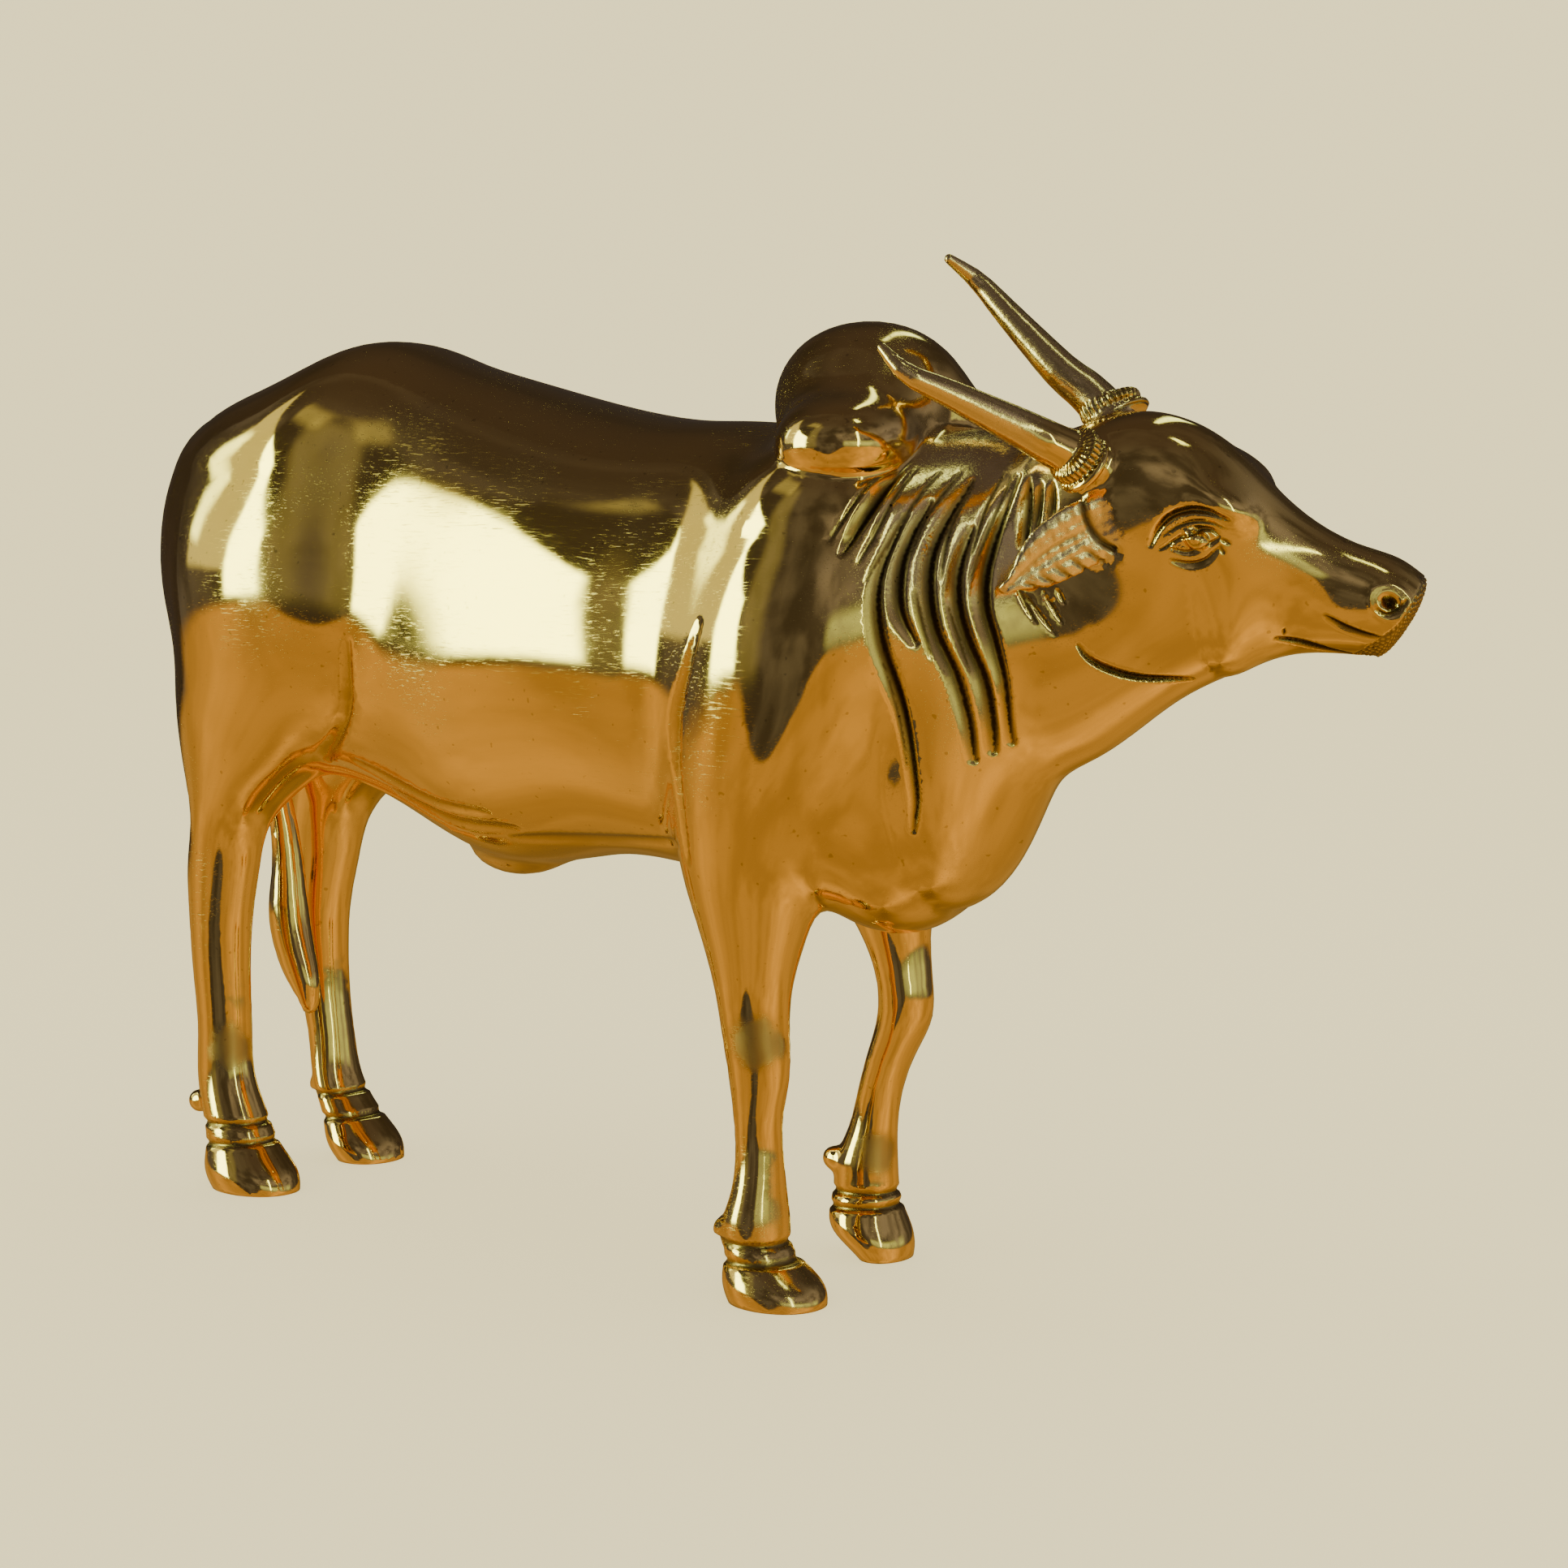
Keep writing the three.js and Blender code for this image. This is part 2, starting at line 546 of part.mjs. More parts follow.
// Thins the skin to the wanted number of facets. The edge whose loss moves the skin least goes
// first, and an edge stays where its loss would fold a facet over or pinch the skin.
const holdShare = 1e-3;
const lengthCost = 1e-7;
const leastTurn = 0.3;
const leastArea = 1e-3;
function thin(positions, triangles, wanted) {
  const points = [];
  for (let i = 0; i < positions.length; i += 3) {
    points.push(new THREE.Vector3(positions[i], positions[i + 1], positions[i + 2]));
  }
  const faces = [];
  for (let i = 0; i < triangles.length; i += 3) faces.push(triangles.slice(i, i + 3));
  const around = points.map(() => new Set());
  const quadrics = points.map(() => new Float64Array(10));
  const facet = new THREE.Triangle();
  const normal = new THREE.Vector3();
  faces.forEach((face, f) => {
    facet.set(...face.map(v => points[v]));
    facet.getNormal(normal);
    const plane = planeQuadric(normal, -normal.dot(facet.a), facet.getArea());
    face.forEach(v => {
      around[v].add(f);
      plane.forEach((value, k) => { quadrics[v][k] += value; });
    });
  });
  const stamps = new Uint32Array(points.length);
  const neighbours = v => new Set([...around[v]].flatMap(f => faces[f]).filter(n => n !== v));

  // Edges wait in a heap, cheapest on top; a stale one is known by its stamp
  const heap = [];
  const sink = at => {
    for (let child = 2 * at + 1; child < heap.length; child = 2 * at + 1) {
      if (child + 1 < heap.length && heap[child + 1].cost < heap[child].cost) child++;
      if (heap[at].cost <= heap[child].cost) return;
      [heap[at], heap[child]] = [heap[child], heap[at]];
      at = child;
    }
  };
  const push = entry => {
    let at = heap.push(entry) - 1;
    while (at > 0 && heap[(at - 1) >> 1].cost > heap[at].cost) {
      const parent = (at - 1) >> 1;
      [heap[at], heap[parent]] = [heap[parent], heap[at]];
      at = parent;
    }
  };
  const pop = () => {
    const top = heap[0];
    const last = heap.pop();
    if (heap.length) {
      heap[0] = last;
      sink(0);
    }
    return top;
  };

  const system = new THREE.Matrix3();
  const offer = (a, b) => {
    const q = quadrics[a].map((value, k) => value + quadrics[b][k]);
    const middle = points[a].clone().lerp(points[b], 0.5);
    const span = points[a].distanceTo(points[b]);
    const hold = holdShare * (q[0] + q[4] + q[7]);
    system.set(q[0] + hold, q[1], q[2], q[1], q[4] + hold, q[5], q[2], q[5], q[7] + hold);
    const target = new THREE.Vector3(-q[3], -q[6], -q[8]).addScaledVector(middle, hold);
    const at = target.applyMatrix3(system.invert());
    if (at.distanceTo(middle) > span) at.copy(middle);
    const flat = Math.abs(points[a].z) < flatTolerance || Math.abs(points[b].z) < flatTolerance;
    if (flat) at.z = 0;
    const cost = quadricError(q, at) + lengthCost * span * span;
    push({ cost, a, b, at, stamp: stamps[a] + stamps[b], q });
  };
  faces.forEach(([a, b, c]) => {
    if (a < b) offer(a, b);
    if (b < c) offer(b, c);
    if (c < a) offer(c, a);
  });

  const before = new THREE.Vector3();
  const after = new THREE.Vector3();
  const turnsOver = (v, other, at) => [...around[v]].some(f => {
    const face = faces[f];
    if (face.includes(other)) return false;
    facet.set(...face.map(n => points[n])).getNormal(before);
    facet.set(...face.map(n => (n === v ? at : points[n]))).getNormal(after);
    return before.dot(after) < leastTurn || facet.getArea() < leastArea;
  });
  let left = faces.length;
  while (left > wanted && heap.length) {
    const { a, b, at, stamp, q } = pop();
    if (stamps[a] + stamps[b] !== stamp || !around[a].size || !around[b].size) continue;
    const shared = [...around[a]].filter(f => around[b].has(f));
    const ring = neighbours(a);
    const common = [...neighbours(b)].filter(n => ring.has(n));
    if (shared.length !== 2 || common.length !== 2) continue;
    if (turnsOver(a, b, at) || turnsOver(b, a, at)) continue;
    shared.forEach(f => faces[f].forEach(v => around[v].delete(f)));
    around[b].forEach(f => {
      faces[f] = faces[f].map(v => (v === b ? a : v));
      around[a].add(f);
    });
    around[b].clear();
    points[a].copy(at);
    quadrics[a] = q;
    left -= 2;
    stamps[a] += 1;
    neighbours(a).forEach(n => offer(a, n));
  }
  const kept = [...new Set([...around.keys()].filter(v => around[v].size))];
  const renumber = new Map(kept.map((v, i) => [v, i]));
  const live = new Set(kept.flatMap(v => [...around[v]]));
  return {
    positions: kept.flatMap(v => points[v].toArray()),
    triangles: [...live].flatMap(f => faces[f].map(v => renumber.get(v)))
  };
}

// Cuts away everything below the floor, so that the soles are flat
const groundSize = [800, 300, 40];
const wasm = await Module();
wasm.setup();
function solid(positions, triangles) {
  return new wasm.Manifold(new wasm.Mesh({
    numProp: 3,
    vertProperties: new Float32Array(positions),
    triVerts: new Uint32Array(triangles)
  }));
}

function cutSoles(traced) {
  const [length, width, depth] = groundSize;
  const ground = new THREE.BoxGeometry(length, width, depth).translate(0, 0, -depth / 2);
  ground.deleteAttribute('normal');
  ground.deleteAttribute('uv');
  const slab = mergeVertices(ground);
  const below = solid(slab.attributes.position.array, slab.index.array);
  const cut = solid(traced.positions, traced.triangles).subtract(below).getMesh();
  return { positions: [...cut.vertProperties], triangles: [...cut.triVerts] };
}

const whole = cutSoles(trace(skin));
const facets = thin(whole.positions, whole.triangles, facetTarget);

const geometry = new THREE.BufferGeometry();
geometry.setAttribute('position', new THREE.Float32BufferAttribute(facets.positions, 3));
geometry.setIndex(facets.triangles);

const brass = new THREE.MeshStandardMaterial({ color: '#c8953f', roughness: 0.22, metalness: 1 });
const bull = new THREE.Mesh(geometry, brass);
bull.name = 'bull';
bull.position.set(-boxMiddle[0], -boxMiddle[1], 0);

const statue = new THREE.Group();
statue.add(bull);
export default statue;
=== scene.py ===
import math

import bpy
import numpy as np
from mathutils import Matrix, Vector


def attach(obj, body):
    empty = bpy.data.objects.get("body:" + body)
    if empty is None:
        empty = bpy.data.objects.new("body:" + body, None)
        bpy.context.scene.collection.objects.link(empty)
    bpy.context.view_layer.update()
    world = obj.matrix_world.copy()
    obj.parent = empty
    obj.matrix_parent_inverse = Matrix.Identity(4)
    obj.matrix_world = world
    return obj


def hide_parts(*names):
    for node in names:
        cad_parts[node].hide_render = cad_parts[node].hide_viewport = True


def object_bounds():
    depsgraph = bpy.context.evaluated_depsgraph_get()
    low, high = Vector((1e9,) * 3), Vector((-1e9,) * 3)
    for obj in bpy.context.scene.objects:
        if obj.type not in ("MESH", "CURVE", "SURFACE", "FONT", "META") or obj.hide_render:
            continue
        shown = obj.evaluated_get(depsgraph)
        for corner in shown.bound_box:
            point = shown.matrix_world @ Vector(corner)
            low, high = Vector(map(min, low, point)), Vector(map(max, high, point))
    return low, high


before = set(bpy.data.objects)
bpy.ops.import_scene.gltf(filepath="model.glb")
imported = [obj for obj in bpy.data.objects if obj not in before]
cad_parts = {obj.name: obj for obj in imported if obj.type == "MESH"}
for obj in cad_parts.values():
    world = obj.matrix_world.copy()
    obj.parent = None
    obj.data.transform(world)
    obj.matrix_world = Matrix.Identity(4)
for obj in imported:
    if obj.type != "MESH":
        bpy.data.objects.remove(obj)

cad_box = [list(corner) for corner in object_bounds()]

# The bull is one hollow brass casting, made by lost wax. Round masses of wax are joined and smoothed,
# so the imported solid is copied, made finer where the chisel worked, and laid on the skin of the wax.
# The wax is measured in millimetres, with its own origin between the legs.
MM = 0.001
WAX_ORIGIN = np.array([54.7, 0.02, 0.0])
OUT_OF_REACH = 40.0
RUMP_HEIGHT = 241.5
BACK_HEIGHT = 217.0
HUMP_HEIGHT = 240.4
BELLY_HEIGHT = 102.0
BODY_HALF_WIDTH = 48.0
HIND_TRACK = 24.0
FORE_TRACK = 26.0
SKULL_HALF_WIDTH = 18.0
HEAD_LENGTH = 82.2
HORN_GAP = 15.2
COLLAR_RADIUS = 7.3


def bell(reach):
    return np.clip(1 - np.square(reach), 0, None) ** 3


def smooth(value, low, high):
    share = np.clip((value - low) / (high - low), 0, 1)
    return share * share * (3 - 2 * share)


def melt(first, second, width):
    near = np.clip(width - np.abs(first - second), 0, None) / width
    return np.minimum(first, second) - near**3 * width / 6


def spline(stations):
    at, value = np.array(stations, float).T
    gap = np.diff(at)
    lhs = np.eye(len(at))
    rhs = np.zeros(len(at))
    for i in range(1, len(at) - 1):
        lhs[i, i - 1 : i + 2] = gap[i - 1], 2 * (gap[i - 1] + gap[i]), gap[i]
        rhs[i] = 6 * ((value[i + 1] - value[i]) / gap[i] - (value[i] - value[i - 1]) / gap[i - 1])
    bend = np.linalg.solve(lhs, rhs)
    t = np.linspace(at[0], at[-1], 1201)
    i = np.clip(np.searchsorted(at, t, side="right") - 1, 0, len(at) - 2)
    a = (at[i + 1] - t) / gap[i]
    b = 1 - a
    table = a * value[i] + b * value[i + 1]
    table += ((a**3 - a) * bend[i] + (b**3 - b) * bend[i + 1]) * gap[i] ** 2 / 6
    return lambda s: np.interp(s, t, table)


def oval(offsets, halves, squareness=2.0):
    shares = [np.abs(o) / h for o, h in zip(offsets, halves)]
    reach = np.maximum(sum(s**squareness for s in shares) ** (1 / squareness), 1e-5)
    slope = sum(((s / reach) ** (squareness - 1) / h) ** 2 for s, h in zip(shares, halves))
    return (reach - 1) / np.sqrt(slope)


def strung(stations, rounding, squareness=2.0):
    rows = np.array(stations, float)
    low, high, side, half = (spline(rows[:, [0, k]]) for k in (1, 2, 3, 4))
    first, last = rows[0, 0], rows[-1, 0]

    def distance(along, up, across):
        found = np.full(len(along), OUT_OF_REACH)
        past = np.where(along > last, along - last, np.minimum(0, along - first))
        under, over = low(along), high(along)
        near = (np.abs(past) < OUT_OF_REACH) & (up < over + OUT_OF_REACH) & (up > under - OUT_OF_REACH)
        a, under, over = along[near], under[near], over[near]
        offsets = up[near] - (under + over) / 2, across[near] - side(a), past[near]
        halves = (over - under) / 2, half(a), np.where(a > last, rounding[1], rounding[0])
        found[near] = oval(offsets, halves, squareness)
        return found

    return distance


trunk = strung([
    (-104, 150, 220.4, 0, 36), (-90, 132, 226.2, 0, 41), (-75, 121, 234.4, 0, 45),
    (-58, 117, RUMP_HEIGHT, 0, 47), (-34, 109.2, 237, 0, 44.6), (-8, BELLY_HEIGHT - 1.6, 230, 0, 45.6),
    (30, BELLY_HEIGHT + 2, 221.2, 0, BODY_HALF_WIDTH),
    (58, BELLY_HEIGHT + 1.5, BACK_HEIGHT + 0.5, 0, BODY_HALF_WIDTH - 0.6),
    (84, 100.5, 216, 0, 44.8), (106, 98, 210, 0, 42), (122, 93, 204, 0, 35), (134, 99, 200, 0, 28),
], (22, 20), 2.25)
neck = strung([
    (118, 98, 212, 0, 34), (134, 105.4, 213, 1, 29), (150, 128.2, 210, 6, 23),
    (166, 135.6, 201, 11, 19), (182, 147.2, 194, 16, 15), (196, 156.2, 187, 20, 11),
], (14, 10))
near_hind = strung([
    (-2, -107, -80, -HIND_TRACK, 10), (5, -111, -81.2, -HIND_TRACK, 11.4),
    (12, -111, -87.4, -HIND_TRACK, 9.6), (20, -112.4, -92, -HIND_TRACK, 8.4),
    (30, -115, -96.6, -HIND_TRACK, 7.4), (45, -115, -98, -HIND_TRACK, 7),
    (62, -116.4, -98.4, -HIND_TRACK, 7.4), (80, -117.4, -97, -HIND_TRACK, 8.2),
    (94, -117.2, -94, -HIND_TRACK, 9), (107, -114.4, -89, -HIND_TRACK, 11),
    (120, -115, -72, -HIND_TRACK, 15.5), (138, -115.8, -50, -HIND_TRACK - 1, 20),
    (162, -113, -38, -HIND_TRACK - 2, 22.4), (188, -110.6, -42, -HIND_TRACK, 22),
    (206, -111, -48, -HIND_TRACK + 4, 18),
], (4, 18), 2.1)
far_hind = strung([
    (-2, -104.6, -87.4, HIND_TRACK, 9.4), (5, -110.2, -89, HIND_TRACK, 11.4),
    (12, -112.8, -95.4, HIND_TRACK, 9.6), (20, -116.4, -102.6, HIND_TRACK, 8.4),
    (34, -119.8, -106.6, HIND_TRACK, 7.2), (46, -122.6, -108.2, HIND_TRACK, 7.2),
    (60, -126, -109, HIND_TRACK, 7.8), (76, -128, -108, HIND_TRACK, 8.6),
    (92, -128.6, -103.6, HIND_TRACK, 9.4), (107, -127, -97, HIND_TRACK, 12),
    (120, -124, -79, HIND_TRACK, 16), (138, -117, -52, HIND_TRACK + 1, 20),
    (162, -113, -38, HIND_TRACK + 2, 22.4), (188, -110.6, -42, HIND_TRACK, 22),
    (206, -111, -48, HIND_TRACK - 4, 18),
], (4, 18), 2.1)
near_fore = strung([
    (-2, 88, 112.5, -FORE_TRACK, 10.4), (5, 85.4, 111, -FORE_TRACK, 11.4),
    (12, 85.5, 103, -FORE_TRACK, 8.6), (18, 84.8, 101.4, -FORE_TRACK, 8.6),
    (25, 86.8, 100.8, -FORE_TRACK, 7.6), (34, 88.2, 100.2, -FORE_TRACK, 6.1),
    (45, 87.6, 100, -FORE_TRACK, 5.8), (56, 86, 102, -FORE_TRACK, 6.6),
    (64, 84.8, 101.8, -FORE_TRACK, 7.6), (76, 82.6, 102, -FORE_TRACK, 8.6),
    (90, 78.8, 105.8, -FORE_TRACK, 11.6), (106, 74.2, 111, -FORE_TRACK, 16),
    (126, 75.6, 122, -FORE_TRACK - 3, 19.8), (148, 80, 132, -FORE_TRACK - 5, 19.4),
    (168, 86, 135, -FORE_TRACK - 3, 20), (188, 94, 134, -FORE_TRACK + 2, 19),
], (4, 20), 2.1)
far_fore = strung([
    (-2, 91, 100.8, FORE_TRACK, 7.4), (2, 86.6, 101.4, FORE_TRACK, 9.4),
    (7, 80.4, 100.6, FORE_TRACK, 10.8), (12, 79, 98.6, FORE_TRACK, 9.8),
    (18, 79.6, 97.4, FORE_TRACK, 8), (24, 80, 97, FORE_TRACK, 7.6), (33, 83.8, 97, FORE_TRACK, 6.4),
    (43, 87, 98.4, FORE_TRACK, 6), (54, 90.4, 102.6, FORE_TRACK, 6.6),
    (64, 93.6, 107.6, FORE_TRACK, 7.2), (73, 93.6, 107.8, FORE_TRACK, 7.4),
    (88, 87, 107, FORE_TRACK, 9.4), (106, 76, 112, FORE_TRACK, 16),
    (126, 76, 122, FORE_TRACK + 3, 19.8), (148, 80, 132, FORE_TRACK + 5, 19.4),
    (168, 86, 135, FORE_TRACK + 3, 20), (188, 94, 134, FORE_TRACK - 2, 19),
], (4, 20), 2.1)
tail = strung([
    (50, -105.4, -99.4, 5, 3), (56, -110.6, -99.4, 5, 4.2), (64, -114.8, -101.4, 5, 5.2),
    (76, -117.2, -104, 5, 5.6), (90, -115.4, -105.4, 4.6, 4.6), (106, -115.8, -107.6, 3.6, 4),
    (130, -121.6, -112.6, 1.6, 4), (170, -129, -119, 0, 4.4), (205, -130, -116, 0, 5.4),
], (4, 12))
HUMP_HALVES = 23.4, 20.8, 20
HUMP_MIDDLE = 107.9, 0, HUMP_HEIGHT - 20
LOBE_HALVES = 15, 15, 10
LOBE_MIDDLE = 120.2, 26.7, HUMP_HEIGHT - 30.9
SHEATH_HALVES = 15, 8, 7.4
SHEATH_MIDDLE = -12, 0, BELLY_HEIGHT + 1
CLAW_HALVES = 3.6, 2.6, 3.2
DEW_CLAWS = (
    (-114.8, -HIND_TRACK - 3, 23.4), (-114.8, -HIND_TRACK + 5, 23.4), (-114.6, HIND_TRACK - 4, 21),
    (-114.6, HIND_TRACK + 4, 21), (86.8, -FORE_TRACK - 4, 17), (86.8, -FORE_TRACK + 4, 17),
    (81.2, FORE_TRACK - 4, 25), (81.2, FORE_TRACK + 4, 25),
)

# The head sits in its own frame: turned to the bull's left, nose down, its left side tilted up.
turn_head = Matrix.Rotation(math.radians(30), 3, "Z")
drop_head = Matrix.Rotation(math.radians(30), 3, "Y")
tilt_head = Matrix.Rotation(math.radians(26), 3, "X")
HEAD_TURN = np.array(turn_head @ drop_head @ tilt_head)
HEAD_AT = np.array([170.0, 2.0, 211.0])
skull = strung([
    (-5, -30, -2, 0, 13), (4, -38, 8.4, 0, 16), (14, -42, 14, 0, SKULL_HALF_WIDTH),
    (25, -43, 15.4, 0, SKULL_HALF_WIDTH + 0.3), (36, -40, 13.4, 0, SKULL_HALF_WIDTH - 0.6),
    (47, -35.4, 10.4, 0, 14.8), (57, -28.8, 9.2, 0, 12), (67, -20.2, 10, 0, 10.6),
    (76, -14, 11.6, 0, 10.6), (HEAD_LENGTH, -10.8, 11, 0, 9.8),
], (7, 3.2), 2.2)


def passing(knots, pieces):
    # A smooth path through the knots, at even shares of it from end to end.
    knots = np.array(knots, float)
    ends = [2 * knots[0] - knots[1], *knots, 2 * knots[-1] - knots[-2]]
    points = []
    for t in np.linspace(0, len(knots) - 1, pieces + 1):
        i = min(int(t), len(knots) - 2)
        a, b, c, d = ends[i : i + 4]
        w = [np.linalg.norm(q - p) ** 0.5 for p, q in ((a, b), (b, c), (c, d))]
        w = [max(v, 1e-4) for v in w]
        m1 = (c - b) + w[1] * ((b - a) / w[0] - (c - a) / (w[0] + w[1]))
        m2 = (c - b) + w[1] * ((d - c) / w[2] - (d - b) / (w[1] + w[2]))
        s = t - i
        points.append((2 * s**3 - 3 * s**2 + 1) * b + (s**3 - 2 * s**2 + s) * m1
                      + (3 * s**2 - 2 * s**3) * c + (s**3 - s**2) * m2)
    return np.array(points)


HORN_WIDTHS = spline([(0, 5.8), (0.2, 5), (0.35, 4.5), (0.52, 3.8), (0.68, 3.1), (0.85, 2.2), (1, 1.2)])
HORN_BEADS = 14
HORN_KNOTS = (
    (7, HORN_GAP - 6.2, -0.8), (-4.7, HORN_GAP + 0.6, 1.6), (-13, HORN_GAP + 2.4, 2.2),
    (-23, HORN_GAP + 6.2, 3.6), (-33, HORN_GAP + 10, 5.3), (-43, HORN_GAP + 13.6, 7.2),
    (-51, HORN_GAP + 10.9, 9.8),
)


def horn_path(side, length, droop, shift):
    # The left horn sits a little higher, and the right one is shorter and turns up less at its tip.
    knots = []
    for i, (along, out, up) in enumerate(HORN_KNOTS):
        fall = droop * (i / (len(HORN_KNOTS) - 1)) ** 3
        knots.append((along * (length if along < 0 else 1), side * out, up - fall))
    return passing(knots, HORN_BEADS) + np.array(shift)


horn_paths = {-1: horn_path(-1, 0.965, 3.6, (0, 0, 0)), 1: horn_path(1, 1.01, 0.5, (0, 0.3, 0.4))}
HORN_SHARES = np.linspace(0, 1, HORN_BEADS + 1)


def horn(points, side):
    # Distance to a horn, and how far along it the nearest place lies, from 0 at the root to 1.
    beads = horn_paths[side]
    sizes = HORN_WIDTHS(HORN_SHARES)
    found = np.full(len(points), OUT_OF_REACH)
    share = np.zeros(len(points))
    for i in range(HORN_BEADS):
        run = beads[i + 1] - beads[i]
        offset = points - beads[i]
        t = np.clip(offset @ run / (run @ run), 0, 1)
        away = np.linalg.norm(offset - t[:, None] * run, axis=1) - sizes[i] - (sizes[i + 1] - sizes[i]) * t
        nearer = away < found
        found[nearer] = away[nearer]
        share[nearer] = (i + t[nearer]) / HORN_BEADS
    return found, share


# Two rings sit on each horn's root: a ribbed one on the horn and a plain band on the head's side of it.
COLLAR_RIBS = 30
RIB_DEPTH = 0.6
COLLAR_RINGS = ((0.1, HORN_GAP + 0.7, 2.2, 4.0), (3.0, HORN_GAP + 1.1, 1.1, 3.2))
COLLAR_GIRTHS = {-1: 0.97, 1: 1.04}


def collar(points, side, ring):
    # Distance to a ring, the angle round it and how far along the horn from its middle.
    along, out, up, width = COLLAR_RINGS[ring]
    axis = np.array([-0.94, side * 0.52, 0.42])
    axis /= np.linalg.norm(axis)
    across = np.cross(axis, (0.0, 0.0, 1.0))
    across /= np.linalg.norm(across)
    offset = points - (along, side * out, up)
    lift = offset @ axis
    flat = offset - lift[:, None] * axis
    away = np.linalg.norm(flat, axis=1)
    angle = np.arctan2(flat @ np.cross(axis, across), flat @ across)
    return oval((lift, away), (width / 2, COLLAR_RADIUS * COLLAR_GIRTHS[side]), 3), angle, lift


# An ear is a leaf of metal hollowed on its face, with a vein along it and nicks in its lower edge.
EAR_ROOT = np.array([14.6, 15.4, -6.2])
EAR_TIP = np.array([2.2, 30.5, -27.2])
EAR_WIDTHS = spline([(0, 6), (0.2, 7.5), (0.45, 7.8), (0.75, 5.9), (1, 1.8)])
EAR_BOW = 0.6
EAR_HALF_THICKNESS = 1.9
EAR_HOLLOW = 1.1
EAR_END = 3.0
EAR_NICKS = 6


def ear(points, side):
    # Distance to an ear, the share along it, the share across it and the height over its face.
    root, tip = EAR_ROOT * (1, side, 1), EAR_TIP * (1, side, 1)
    length = np.linalg.norm(tip - root)
    run = (tip - root) / length
    breadth = np.array([0.8, 0, -0.6])
    breadth = breadth - run * (breadth @ run)
    breadth /= np.linalg.norm(breadth)
    face = -side * np.cross(run, breadth)
    offset = points - root
    along = offset @ run
    past = np.where(along > length, along - length, np.minimum(0, along))
    share = np.clip(along / length, 0, 1)
    width = EAR_WIDTHS(share)
    aside = offset @ breadth + 4 * EAR_BOW * share * (1 - share)
    height = offset @ face
    hollow = EAR_HOLLOW * bell(aside / width)
    found = oval((aside, height + hollow, past), (width, EAR_HALF_THICKNESS, EAR_END))
    return found, share, aside / width, height


BROW_MIDDLE, BROW_HALVES = (34, 10.3, 7.6), (8, 4.4, 3.4)
EYE_MIDDLE, EYE_HALVES = (33.4, 16.4, -0.8), (3.2, 2.3, 2.2)


def off(points, middle):
    return [points[:, k] - middle[k] for k in range(3)]


def into_head(points):
    return (points - HEAD_AT) @ HEAD_TURN


def wax(points):
    # Distance to the smooth skin, before anything is cut into it.
    x, y, z = points.T
    found = melt(trunk(x, z, y), neck(x, z, y), 26)
    width = 11 + (34 - 11) * smooth(z, 120, 185)
    for leg in (near_hind, far_hind, near_fore, far_fore):
        found = melt(found, leg(z, x, y), width)
    lobe = oval(off(np.stack([x, np.abs(y), z], 1), LOBE_MIDDLE), LOBE_HALVES, 2.2)
    hump = melt(oval(off(points, HUMP_MIDDLE), HUMP_HALVES, 2.1), lobe, 32)
    found = melt(found, hump, 2.4)
    found = melt(found, oval(off(points, SHEATH_MIDDLE), SHEATH_HALVES), 10)
    found = np.where(x < 0, melt(found, tail(z, x, y), 5), found)
    low = z < 34
    if low.any():
        for middle in DEW_CLAWS:
            found[low] = melt(found[low], oval(off(points[low], middle), CLAW_HALVES), 3)
    head = (x > 110) & (z > 110)
    if head.any():
        found[head] = with_head(into_head(points[head]), found[head])
    return found


def with_head(points, found):
    along, side, up = points.T
    found = melt(found, skull(along, up, side), 14)
    for hand in (-1, 1):
        found = melt(found, horn(points, hand)[0], 2)
    for hand in (-1, 1):
        for ring in (0, 1):
            found = melt(found, collar(points, hand, ring)[0], 1.2)
    for hand in (-1, 1):
        found = melt(found, ear(points, hand)[0], 2)
    half = np.stack([along, np.abs(side), up], 1)
    found = melt(found, oval(off(half, BROW_MIDDLE), BROW_HALVES), 6)
    return melt(found, oval(off(half, EYE_MIDDLE), EYE_HALVES), 1)


